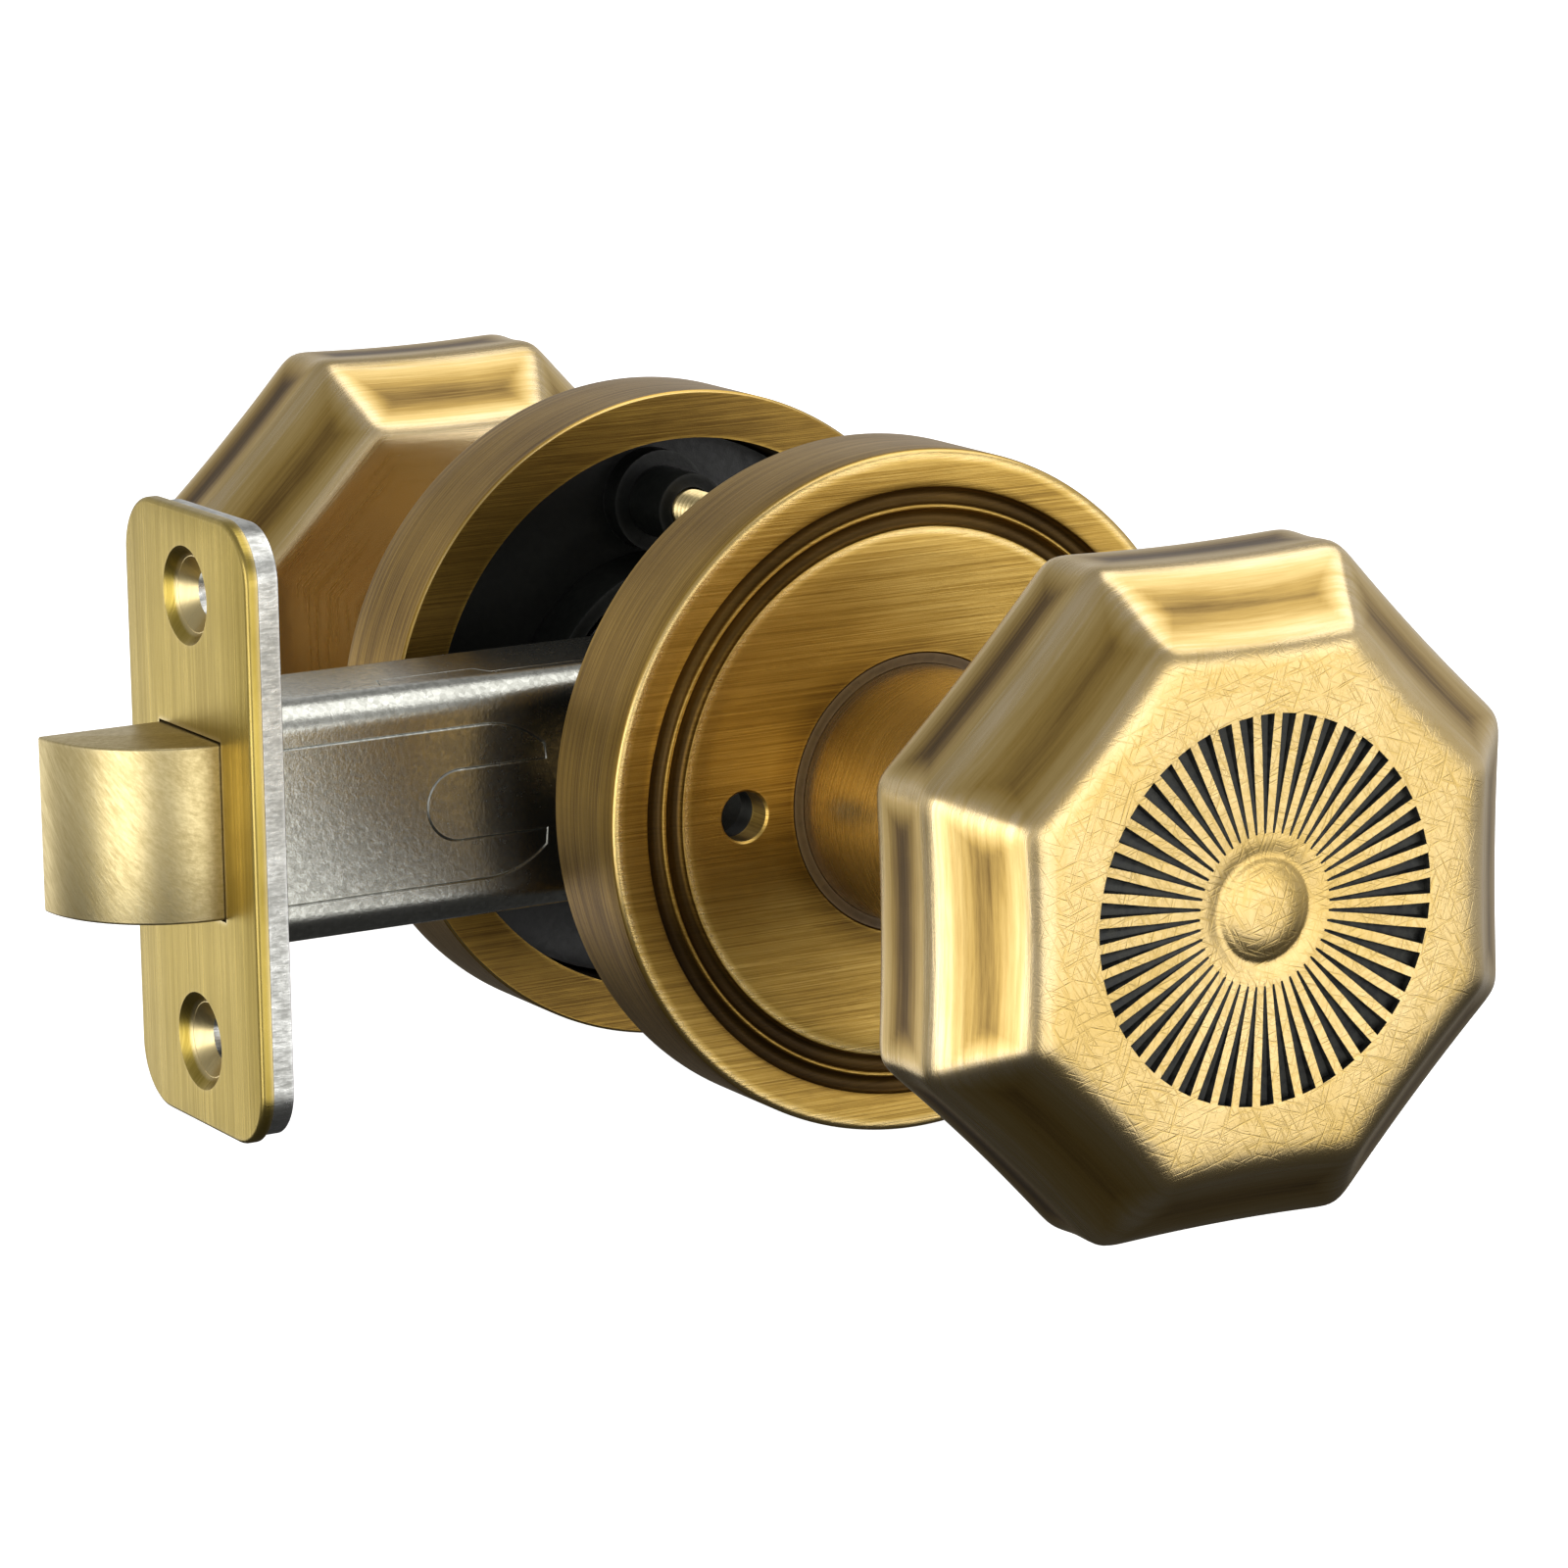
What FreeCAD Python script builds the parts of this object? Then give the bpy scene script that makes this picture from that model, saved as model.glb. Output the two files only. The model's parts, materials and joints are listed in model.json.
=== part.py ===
import FreeCAD, Part
import math
import os
from FreeCAD import Vector

# Door knob set with a push-pin privacy lock and a spring latch, in millimetres.
# +Z is up. The spindle lies along Y, and the origin is on its axis at the middle of the door.
# -Y is the outside of the room, +Y the inside, and the latch bolt points to -X.
# Distances named "..._at" are measured from the middle of the door along the spindle.

# Door and standard latch dimensions
door_thickness = 32.0
backset = 60.3
faceplate_height = 57.15
faceplate_width = 25.4
edge_screw_inset = 7.925
edge_screw_hole_radius = 2.2

# Knob
knob_across_flats = 59.5
knob_front_across_flats = 45.5
knob_back_across_flats = 46.0
knob_front_bevel = 7.0
knob_band = 8.0
knob_back_bevel = 7.0
knob_wall = 3.0
knob_edge_radius = 1.6
knob_reach = 56.0
neck_radius = 12.0
neck_lip = 1.1
neck_wall = 2.4
neck_tail = 4.9
neck_bore_radius = 6.5
dish_radius = 17.2
dish_depth = 0.7
button_radius = 4.2
button_height = 0.9
ray_count = 48
ray_inner_radius = 6.6
ray_outer_radius = 16.9
ray_inner_width = 0.25
ray_outer_width = 1.35
ray_depth = 0.9

# Rose, the round cover plate
rose_radius = 31.75
rose_rim_wall = 4.6
rose_face_thickness = 2.6
rose_edge_chamfer = 0.5
rose_groove_insets = (4.3, 6.3)
rose_groove_round = 0.85
emergency_hole_radius = 2.3

# Neck bush and mounting plate
bush_wall = 0.9
mounting_plate_thickness = 2.0
cup_room = 0.5
cup_wall = 1.4
retaining_ring_lip = 1.4
retaining_ring_thickness = 1.1
retaining_ring_opening = 5.0
retaining_groove_depth = 1.2

# Screws that clamp the roses together
screw_radius = 2.0
screw_head_radius = 3.6
screw_recess_width = 1.0
screw_recess_depth = 1.4
screw_tip_at = 13.0
post_radius = 3.5
post_base_radius = 5.0
post_base_height = 2.5
post_cup_gap = 0.2
outside_post_reach = 19.0
inside_sleeve_reach = 8.5
rivet_radius = 2.6

# Spindle, drive hubs and return springs
spindle_side = 7.0
spindle_overhang = 1.2
hub_flange = 1.2
hub_flange_room = 0.4
hub_length = 8.6
hub_notch_depth = 0.9
return_wire_radius = 0.5
return_spring_room = 1.1
return_spring_turns = 2.5
return_spring_pitch = 1.05
return_spring_end_gap = 0.275
return_leg_overhang = 0.4

# Latch
bolt_height = 16.2
bolt_width = 12.5
bolt_nose_radius = 12.16
bolt_length = 22.5
faceplate_thickness = 1.25
backing_thickness = 2.2
backing_inset = 0.5
plate_corner_radius = 5.5
dish_hole_radius = 4.35
dish_hole_depth = 2.4
case_wall = 1.0
case_corner_radius = 3.0
case_tail = 24.2
case_end_wall = 1.3
guide_length = 9.2
guide_wall = 0.5
tail_height = 5.0
tail_thickness = 1.6
tail_head_height = 8.0
tail_slot_height = 5.6
tail_head_length = 1.2
stop_thickness = 1.5
stop_to_retractor = 2.5
latch_spring_radius = 5.3
latch_wire_radius = 0.5
latch_spring_turns = 7

# Cam and retractor
cam_radius = 6.2
cam_arm_radius = 8.6
cam_tip_radius = 1.2
cam_arm_angle = 45.0
cam_arm_thickness = 8.0
cam_arm_width = 1.7
cam_top_room = 0.4
retractor_side_room = 0.4
retractor_top_room = 0.5
retractor_front_room = 2.04
retractor_wall = 2.0
retractor_bridge = 3.2
horn_root_room = 0.4

# Privacy pin and its button
pin_radius = 1.9
pin_case_gap = 3.7
push_button_radius = 3.4
push_button_length = 7.0
push_button_seat = 0.7
push_button_round = 1.2
collar_radius = 4.2
collar_height = 1.4
collar_bush_gap = 1.05

# Clearances
running_fit = 0.05
seat_gap = 0.05
sliding_gap = 0.2
free_gap = 0.3
cam_gap = 0.35

# Worked-out planes, as distances from the middle of the door: spring, neck, ring, plate and face
rim_at = door_thickness / 2
return_spring_start = rim_at + seat_gap + return_wire_radius
return_spring_height = return_spring_pitch * return_spring_turns
neck_end_at = return_spring_start + return_spring_height + return_wire_radius + return_spring_end_gap
ring_near_at = neck_end_at + neck_lip
ring_far_at = ring_near_at + retaining_ring_thickness
plate_near_at = ring_far_at + sliding_gap
plate_far_at = plate_near_at + mounting_plate_thickness
cavity_end_at = plate_far_at + seat_gap
rose_face_at = cavity_end_at + rose_face_thickness
knob_front_at = rose_face_at + knob_reach
knob_ridge_front_at = knob_front_at - knob_front_bevel
knob_ridge_back_at = knob_ridge_front_at - knob_band
knob_back_at = knob_ridge_back_at - knob_back_bevel
hub_far_at = neck_end_at + neck_tail - seat_gap
hub_near_at = hub_far_at - hub_length

# Worked-out radii and offsets round the spindle
cavity_radius = rose_radius - rose_rim_wall
bush_radius = neck_radius + running_fit + bush_wall
hub_radius = neck_radius - neck_wall
retaining_ring_radius = neck_radius + retaining_ring_lip
cup_inner_radius = retaining_ring_radius + cup_room
cup_outer_radius = cup_inner_radius + cup_wall
return_spring_radius = cup_inner_radius - return_spring_room - return_wire_radius
hub_flange_radius = return_spring_radius - return_wire_radius - hub_flange_room
screw_z = cup_outer_radius + post_cup_gap + post_base_radius
pin_offset = bush_radius + collar_bush_gap + collar_radius

# Worked-out sizes and places of the latch
bolt_throw = 2 * cam_arm_radius * math.sin(math.radians(cam_arm_angle))
case_height = 2 * (cam_arm_radius + cam_tip_radius + cam_top_room + case_wall)
case_width = bolt_width + 2 * (sliding_gap + guide_wall + seat_gap + case_wall)
edge_screw_z = faceplate_height / 2 - edge_screw_inset
face_x = -backset
backing_x = face_x + faceplate_thickness
plate_back_x = backing_x + backing_thickness
guide_end_x = backing_x + guide_length
bolt_tip_x = face_x - bolt_throw
bolt_rear_x = bolt_tip_x + bolt_length
retractor_slot = bolt_throw + cam_radius + 2 * free_gap
retractor_front = retractor_slot + retractor_front_room + retractor_wall
stop_front_x = -(retractor_front + stop_to_retractor + stop_thickness)
retractor_rear_x = cam_radius + free_gap + retractor_bridge
pin_tip_at = case_width / 2 + pin_case_gap


def cylinder(radius, near, far, x=0.0, z=0.0):
    """Round bar on the outside of the door, from one distance to another."""
    return Part.makeCylinder(radius, far - near, Vector(x, -far, z), Vector(0, 1, 0))


def block(x0, x1, y0, y1, z0, z1):
    return Part.makeBox(x1 - x0, y1 - y0, z1 - z0, Vector(x0, y0, z0))


def inside(shape):
    """The same piece on the room side of the door."""
    return shape.mirror(Vector(0, 0, 0), Vector(0, 1, 0))


def square_bar(side, near, far):
    half = side / 2
    return block(-half, half, -far, -near, -half, half)


def octagon(across_flats, distance):
    radius = across_flats / 2 / math.cos(math.pi / 8)
    points = []
    for corner in range(9):
        angle = math.pi / 8 + corner * math.pi / 4
        points.append(Vector(radius * math.cos(angle), -distance, radius * math.sin(angle)))
    return Part.makePolygon(points)


def octagon_body(front, middle, back, inset):
    """Eight-sided body: front bevel, straight band and back bevel, all inset by a wall."""
    slope = inset * math.tan(math.pi / 8)
    wires = [
        octagon(front - 2 * inset, knob_front_at - inset),
        octagon(middle - 2 * inset, knob_ridge_front_at - slope),
        octagon(middle - 2 * inset, knob_ridge_back_at + slope),
        octagon(back - 2 * inset, knob_back_at + inset),
    ]
    return Part.makeLoft(wires, True, True)


def knob():
    outer = octagon_body(knob_front_across_flats, knob_across_flats, knob_back_across_flats, 0.0)
    outer = outer.makeFillet(knob_edge_radius, outer.Edges)
    hollow = octagon_body(knob_front_across_flats, knob_across_flats, knob_back_across_flats, knob_wall)
    neck = cylinder(neck_radius, neck_end_at, knob_back_at + knob_wall)
    bore = cylinder(neck_bore_radius, neck_end_at, knob_back_at + 2 * knob_wall)
    socket = cylinder(hub_radius + seat_gap, neck_end_at, neck_end_at + neck_tail)
    groove = cylinder(neck_radius + 1, ring_near_at - seat_gap, ring_far_at + seat_gap)
    groove = groove.cut(cylinder(neck_radius - retaining_groove_depth, 0, knob_front_at))
    body = outer.cut(hollow).fuse(neck)
    body = body.cut(bore).cut(socket).cut(groove)
    ball_radius = (dish_radius ** 2 + dish_depth ** 2) / (2 * dish_depth)
    ball_centre = Vector(0, -(knob_front_at + ball_radius - dish_depth), 0)
    body = body.cut(Part.makeSphere(ball_radius, ball_centre))
    for index in range(ray_count):
        body = body.cut(ray(index))
    return body.fuse(button())


def ray(index):
    """One tapered groove of the sunburst."""
    bottom = -(knob_front_at - dish_depth)
    points = [
        Vector(ray_inner_radius, bottom, -ray_inner_width / 2),
        Vector(ray_outer_radius, bottom + ray_depth, -ray_outer_width / 2),
        Vector(ray_outer_radius, bottom + ray_depth, ray_outer_width / 2),
        Vector(ray_inner_radius, bottom, ray_inner_width / 2),
    ]
    points.append(points[0])
    face = Part.Face(Part.makePolygon(points))
    cutter = face.extrude(Vector(0, -3 * ray_depth, 0))
    cutter.rotate(Vector(0, 0, 0), Vector(0, 1, 0), index * 360.0 / ray_count)
    return cutter


def button():
    """Low domed button in the middle of the sunburst."""
    base = knob_front_at - 2 * dish_depth
    dome = (button_radius ** 2 + button_height ** 2) / (2 * button_height)
    top = knob_front_at - dish_depth + button_height
    ball = Part.makeSphere(dome, Vector(0, -(top - dome), 0))
    return ball.common(cylinder(button_radius, base, top + 1))


def neck_bush():
    """Plain bearing that the neck turns in, held by the rose and the mounting plate."""
    sleeve = cylinder(bush_radius, plate_near_at, rose_face_at)
    return sleeve.cut(cylinder(neck_radius + running_fit, 0, knob_front_at))


def rose(hole_list):
    body = cylinder(rose_radius, rim_at, rose_face_at)
    front_edges = [e for e in body.Edges if abs(e.BoundBox.YMin + rose_face_at) < 1e-6
                   and abs(e.BoundBox.YMax + rose_face_at) < 1e-6]
    body = body.makeChamfer(rose_edge_chamfer, front_edges)
    body = body.cut(cylinder(cavity_radius, rim_at, cavity_end_at))
    for groove_inset in rose_groove_insets:
        ring = Part.makeTorus(rose_radius - groove_inset, rose_groove_round,
                              Vector(0, -rose_face_at, 0), Vector(0, 1, 0))
        body = body.cut(ring)
    body = body.cut(cylinder(bush_radius + seat_gap, rim_at, rose_face_at))
    for radius, x, z in hole_list:
        body = body.cut(cylinder(radius, rim_at, rose_face_at, x, z))
    return body


def outside_rose():
    return rose([(emergency_hole_radius, -pin_offset, 0.0)])


def inside_rose():
    holes = [(collar_radius + seat_gap, -pin_offset, 0.0)]
    for z in (screw_z, -screw_z):
        holes.append((screw_head_radius + sliding_gap, 0.0, z))
    return inside(rose(holes))


def mounting_plate(screw_hole_radius, pin_hole_radius):
    """Black plate inside the rose, with a cup wall that holds the return spring."""
    plate = cylinder(cavity_radius - free_gap, plate_near_at, plate_far_at)
    cup = cylinder(cup_outer_radius, rim_at + seat_gap, plate_near_at)
    body = plate.fuse(cup)
    body = body.cut(cylinder(cup_inner_radius, 0, plate_near_at))
    body = body.cut(cylinder(bush_radius + seat_gap, 0, knob_front_at))
    body = body.cut(cylinder(pin_hole_radius, 0, knob_front_at, -pin_offset, 0))
    for z in (screw_z, -screw_z):
        body = body.cut(cylinder(screw_hole_radius, 0, knob_front_at, 0, z))
    slot_half = return_wire_radius + sliding_gap
    slot_far = return_spring_start + return_wire_radius + sliding_gap
    leg_slot = block(0, cup_outer_radius + 1, -slot_far, 0, -slot_half, slot_half)
    return body.cut(leg_slot)


def retaining_ring():
    """Open circlip in the neck's groove."""
    ring = cylinder(retaining_ring_radius, ring_near_at, ring_far_at)
    ring = ring.cut(cylinder(neck_radius - retaining_groove_depth + seat_gap, 0, knob_front_at))
    half = retaining_ring_opening / 2
    gap = block(-half, half, -ring_far_at - 1, -ring_near_at + 1, -retaining_ring_radius - 1, 0)
    return ring.cut(gap)


def drive_hub():
    """Hub that joins the knob's neck to the spindle and is turned back by the return spring."""
    body = cylinder(hub_radius, hub_near_at, hub_far_at)
    flange = cylinder(hub_flange_radius, hub_near_at, hub_near_at + hub_flange)
    notch_half = return_wire_radius + sliding_gap
    notch = block(-hub_flange_radius - 1, -hub_radius + hub_notch_depth, -hub_far_at, 1 - hub_near_at,
                  -notch_half, notch_half)
    body = body.fuse(flange).cut(notch)
    return body.cut(square_bar(spindle_side + 2 * seat_gap, 0, knob_front_at))


def helix_pipe(radius, wire, pitch, turns, place):
    """Round wire wound along +Z from the origin, then moved by a placement."""
    path = Part.makeHelix(pitch, pitch * turns, radius)
    start = Vector(radius, 0, 0)
    direction = Vector(0, 2 * math.pi * radius, pitch)
    section = Part.Wire([Part.makeCircle(wire, start, direction)])
    coil = Part.Wire(path.Edges).makePipeShell([section], True, True)
    coil.Placement = place
    return coil


def return_spring():
    """Torsion spring: a coil with one leg out to the cup and one leg in to the hub."""
    first = Vector(0, -return_spring_start, 0)
    turned = FreeCAD.Rotation(Vector(1, 0, 0), 90)
    body = helix_pipe(return_spring_radius, return_wire_radius, return_spring_pitch,
                      return_spring_turns, FreeCAD.Placement(first, turned))
    outer_reach = cup_outer_radius - return_spring_radius + return_leg_overhang
    outer_leg = Part.makeCylinder(return_wire_radius, outer_reach,
                                  Vector(return_spring_radius, -return_spring_start, 0), Vector(1, 0, 0))
    inner_reach = return_spring_radius - hub_radius + hub_notch_depth - sliding_gap
    inner_start = Vector(-return_spring_radius, -return_spring_start - return_spring_height, 0)
    inner_leg = Part.makeCylinder(return_wire_radius, inner_reach, inner_start, Vector(1, 0, 0))
    return body.fuse(outer_leg).fuse(inner_leg)


def pair_at_screws(shape, limit):
    """Two equal pieces, above and below the spindle, inside a round outline of that radius."""
    outline = cylinder(limit, -rose_face_at, rose_face_at)
    pieces = [shape.translated(Vector(0, 0, z)).common(outline) for z in (screw_z, -screw_z)]
    return Part.makeCompound([solid for piece in pieces for solid in piece.Solids])


def outside_screw_posts():
    """Threaded posts riveted to the outside mounting plate."""
    tip = plate_near_at - outside_post_reach
    post = cylinder(post_radius, tip, plate_near_at)
    post = post.fuse(cylinder(post_base_radius, plate_near_at - post_base_height, plate_near_at))
    post = post.fuse(cylinder(rivet_radius - seat_gap, plate_near_at, plate_far_at))
    post = post.cut(cylinder(screw_radius + running_fit, tip, plate_near_at - 1))
    return pair_at_screws(post, cavity_radius - free_gap)


def inside_screw_sleeves():
    """Plain sleeves on the inside mounting plate that the screws pass through."""
    tip = plate_near_at - inside_sleeve_reach
    sleeve = cylinder(post_radius, tip, plate_near_at)
    sleeve = sleeve.fuse(cylinder(post_base_radius, plate_near_at - post_base_height, plate_near_at))
    sleeve = sleeve.cut(cylinder(screw_radius + sliding_gap, tip, plate_near_at))
    return inside(pair_at_screws(sleeve, cavity_radius - free_gap))


def mounting_screws():
    """Machine screws from the inside rose into the outside posts."""
    shank = cylinder(screw_radius, -screw_tip_at, plate_far_at)
    head = cylinder(screw_head_radius, plate_far_at, rose_face_at)
    half = screw_recess_width / 2
    reach = screw_head_radius * 0.6
    top = -rose_face_at
    for x, z in ((reach, half), (half, reach)):
        head = head.cut(block(-x, x, top - 1, top + screw_recess_depth, -z, z))
    return inside(pair_at_screws(shank.fuse(head), rose_radius))


def spindle():
    end = hub_far_at + spindle_overhang
    return square_bar(spindle_side, -end, end)


def rounded_plate(x0, x1, width, height, corner):
    body = block(x0, x1, -width / 2, width / 2, -height / 2, height / 2)
    return body.makeFillet(corner, edges_along_x(body))


def edges_along_x(body):
    return [e for e in body.Edges if e.BoundBox.YLength < 1e-6 and e.BoundBox.ZLength < 1e-6]


def bolt_window():
    half_width = bolt_width / 2 + sliding_gap
    half_height = bolt_height / 2 + sliding_gap
    return block(face_x - 1, 0, -half_width, half_width, -half_height, half_height)


def cut_screw_holes(plate):
    """The two dished screw holes through a plate at the door's edge."""
    for z in (edge_screw_z, -edge_screw_z):
        cone = Part.makeCone(dish_hole_radius, edge_screw_hole_radius, dish_hole_depth,
                             Vector(face_x, 0, z), Vector(1, 0, 0))
        hole = Part.makeCylinder(edge_screw_hole_radius, backset, Vector(face_x, 0, z), Vector(1, 0, 0))
        plate = plate.cut(cone).cut(hole)
    return plate


def faceplate():
    body = rounded_plate(face_x, backing_x, faceplate_width, faceplate_height, plate_corner_radius)
    return cut_screw_holes(body.cut(bolt_window()))


def backing_plate():
    """Steel plate that the front of the case is let into."""
    body = rounded_plate(backing_x, plate_back_x, faceplate_width - 2 * backing_inset,
                         faceplate_height - 2 * backing_inset, plate_corner_radius - backing_inset)
    return cut_screw_holes(body.cut(case_section(-seat_gap, face_x, 0)))


def case_section(inset, x0, x1):
    return rounded_plate(x0, x1, case_width - 2 * inset, case_height - 2 * inset,
                         case_corner_radius - inset)


def latch_case():
    """Folded steel tube with bearing holes for the cam and a hole for the privacy pin."""
    body = case_section(0.0, backing_x, case_tail).cut(case_section(case_wall, backing_x, case_tail))
    half = case_width / 2
    body = body.cut(cylinder(cam_radius + running_fit, -half, half))
    return body.cut(cylinder(pin_radius + free_gap, -half, half, -pin_offset))


def case_end_cap():
    return case_section(case_wall + seat_gap, case_tail - case_end_wall, case_tail)


def bolt_guide():
    """Collar at the mouth of the case that the bolt slides in."""
    return case_section(case_wall + seat_gap, backing_x, guide_end_x).cut(bolt_window())


def latch_bolt():
    """Sprung bolt with a quarter-round nose towards the outside and a flat back."""
    half_width = bolt_width / 2
    half_height = bolt_height / 2
    nose_x = bolt_tip_x + bolt_nose_radius
    nose_y = bolt_nose_radius - half_width
    shank = block(nose_x, bolt_rear_x, -half_width, half_width, -half_height, half_height)
    nose = Part.makeCylinder(bolt_nose_radius, bolt_height, Vector(nose_x, nose_y, -half_height),
                             Vector(0, 0, 1))
    nose = nose.common(block(bolt_tip_x, nose_x, -half_width, nose_y, -half_height, half_height))
    land = block(bolt_tip_x, nose_x, nose_y, half_width, -half_height, half_height)
    return shank.fuse(nose).fuse(land).removeSplitter()


def bolt_tail():
    """Flat strip behind the bolt, with a head that the retractor pulls."""
    half = tail_thickness / 2
    head_front = -(retractor_front - retractor_wall) + sliding_gap
    strip = block(bolt_rear_x, head_front, -half, half, -tail_height / 2, tail_height / 2)
    head = block(head_front, head_front + tail_head_length, -half, half,
                 -tail_head_height / 2, tail_head_height / 2)
    return strip.fuse(head).removeSplitter()


def spring_stop():
    """Bridge across the case that the latch spring pushes against."""
    body = case_section(case_wall + seat_gap, stop_front_x, stop_front_x + stop_thickness)
    half = tail_thickness / 2 + free_gap
    slot = tail_slot_height / 2
    return body.cut(block(stop_front_x, 0, -half, half, -slot, slot))


def latch_spring():
    """Compression spring between the bolt and the spring stop."""
    start = bolt_rear_x + latch_wire_radius + seat_gap
    length = stop_front_x - bolt_rear_x - 2 * (latch_wire_radius + seat_gap)
    turned = FreeCAD.Rotation(Vector(0, 1, 0), 90)
    return helix_pipe(latch_spring_radius, latch_wire_radius, length / latch_spring_turns,
                      latch_spring_turns, FreeCAD.Placement(Vector(start, 0, 0), turned))


def latch_cam():
    """Cam on the spindle: two arms that push the retractor back, one for each way of turning."""
    half = cam_arm_thickness / 2
    reach = case_width / 2 - seat_gap
    body = cylinder(cam_radius, -reach, reach)
    for angle in (-cam_arm_angle, cam_arm_angle - 180.0):
        arm = block(-cam_arm_width / 2, cam_arm_width / 2, -half, half, 0, cam_arm_radius)
        arm = arm.fuse(cylinder(cam_tip_radius, -half, half, 0, cam_arm_radius))
        arm.rotate(Vector(0, 0, 0), Vector(0, 1, 0), angle)
        body = body.fuse(arm)
    return body.cut(square_bar(spindle_side + 2 * seat_gap, -backset, backset))


def retractor():
    """Frame that slides in the case: side strips past the cam, a front wall and horns."""
    half_width = case_width / 2 - case_wall - retractor_side_room
    half_height = case_height / 2 - case_wall - retractor_top_room
    inner_front = -(retractor_front - retractor_wall)
    body = rounded_plate(-retractor_front, retractor_rear_x, 2 * half_width, 2 * half_height,
                         case_corner_radius - case_wall)
    arm_half = cam_arm_thickness / 2 + free_gap
    horn_face = cam_tip_radius + cam_gap - cam_arm_radius * math.sin(math.radians(cam_arm_angle))
    core = cam_radius + free_gap
    horn_root = cam_arm_radius * math.cos(math.radians(cam_arm_angle)) + horn_root_room
    body = body.cut(block(inner_front, horn_face, -arm_half, arm_half, -half_height, half_height))
    body = body.cut(block(inner_front, 0, -arm_half, arm_half, -horn_root, horn_root))
    body = body.cut(block(inner_front, core, -arm_half, arm_half, -core, core))
    body = body.cut(block(-retractor_slot, core, -half_width, half_width, -core, core))
    half = tail_thickness / 2 + free_gap
    slot = tail_slot_height / 2
    return body.cut(block(-retractor_front, inner_front, -half, half, -slot, slot))


def privacy_collar():
    bore = push_button_radius + running_fit
    top = rose_face_at + collar_height
    return inside(cylinder(collar_radius, plate_far_at, top, -pin_offset).cut(
        cylinder(bore, plate_far_at, top, -pin_offset)))


def privacy_button():
    base = rose_face_at + push_button_seat
    body = cylinder(push_button_radius, base, base + push_button_length, -pin_offset)
    rim = [e for e in body.Edges if e.BoundBox.YLength < 1e-6 and e.BoundBox.YMax < -base - 1]
    return inside(body.makeFillet(push_button_round, rim))


def privacy_pin():
    return inside(cylinder(pin_radius, pin_tip_at, rose_face_at + push_button_seat, -pin_offset))


def write(name, shape):
    shape.exportStep("parts/" + name + ".step")
    print(name, len(shape.Solids), "solids", round(shape.Volume, 1), "mm3", shape.isValid())


os.makedirs("parts", exist_ok=True)
outside_knob = knob()
write("outside_knob", outside_knob)
write("inside_knob", inside(outside_knob))
write("outside_rose", outside_rose())
write("inside_rose", inside_rose())
write("outside_neck_bush", neck_bush())
write("inside_neck_bush", inside(neck_bush()))
write("outside_mounting_plate", mounting_plate(rivet_radius, emergency_hole_radius))
write("inside_mounting_plate", inside(mounting_plate(screw_radius + free_gap,
                                                     push_button_radius + free_gap)))
write("outside_retaining_ring", retaining_ring())
write("inside_retaining_ring", inside(retaining_ring()))
write("outside_drive_hub", drive_hub())
write("inside_drive_hub", inside(drive_hub()))
write("outside_return_spring", return_spring())
write("inside_return_spring", inside(return_spring()))
write("outside_screw_posts", outside_screw_posts())
write("inside_screw_sleeves", inside_screw_sleeves())
write("mounting_screws", mounting_screws())
write("spindle", spindle())
write("faceplate", faceplate())
write("backing_plate", backing_plate())
write("latch_case", latch_case())
write("case_end_cap", case_end_cap())
write("bolt_guide", bolt_guide())
write("latch_bolt", latch_bolt())
write("bolt_tail", bolt_tail())
write("spring_stop", spring_stop())
write("latch_spring", latch_spring())
write("latch_cam", latch_cam())
write("retractor", retractor())
write("privacy_collar", privacy_collar())
write("privacy_button", privacy_button())
write("privacy_pin", privacy_pin())
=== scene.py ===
import json
import math
import bmesh
import bpy
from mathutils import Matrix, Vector


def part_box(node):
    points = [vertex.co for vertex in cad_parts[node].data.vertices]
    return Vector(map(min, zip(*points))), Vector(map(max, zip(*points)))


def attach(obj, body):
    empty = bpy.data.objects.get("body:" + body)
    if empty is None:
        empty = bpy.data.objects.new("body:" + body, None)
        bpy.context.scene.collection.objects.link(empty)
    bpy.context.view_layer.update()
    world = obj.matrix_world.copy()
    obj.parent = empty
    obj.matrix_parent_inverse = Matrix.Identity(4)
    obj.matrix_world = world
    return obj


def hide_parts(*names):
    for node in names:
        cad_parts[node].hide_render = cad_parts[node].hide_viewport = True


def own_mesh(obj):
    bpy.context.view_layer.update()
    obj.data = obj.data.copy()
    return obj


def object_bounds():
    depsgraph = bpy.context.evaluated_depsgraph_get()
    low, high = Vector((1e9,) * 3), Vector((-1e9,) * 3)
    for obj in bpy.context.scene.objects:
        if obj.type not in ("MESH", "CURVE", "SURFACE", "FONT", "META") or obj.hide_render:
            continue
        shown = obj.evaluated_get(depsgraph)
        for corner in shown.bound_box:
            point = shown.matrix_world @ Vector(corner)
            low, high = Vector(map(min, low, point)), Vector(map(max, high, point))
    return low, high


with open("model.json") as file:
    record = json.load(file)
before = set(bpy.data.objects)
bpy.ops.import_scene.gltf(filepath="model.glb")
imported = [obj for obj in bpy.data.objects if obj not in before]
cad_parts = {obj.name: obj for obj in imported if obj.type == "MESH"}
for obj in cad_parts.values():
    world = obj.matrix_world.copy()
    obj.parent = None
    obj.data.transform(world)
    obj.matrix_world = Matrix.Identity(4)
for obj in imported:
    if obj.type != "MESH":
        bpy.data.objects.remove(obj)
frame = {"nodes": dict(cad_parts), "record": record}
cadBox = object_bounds()
scene = bpy.context.scene
mm = 0.001
tiny = 1e-6  # places nearer than this are one place


# Modelling helpers

def makeActive(piece):
    bpy.ops.object.select_all(action="DESELECT")
    piece.select_set(True)
    bpy.context.view_layer.objects.active = piece


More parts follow.
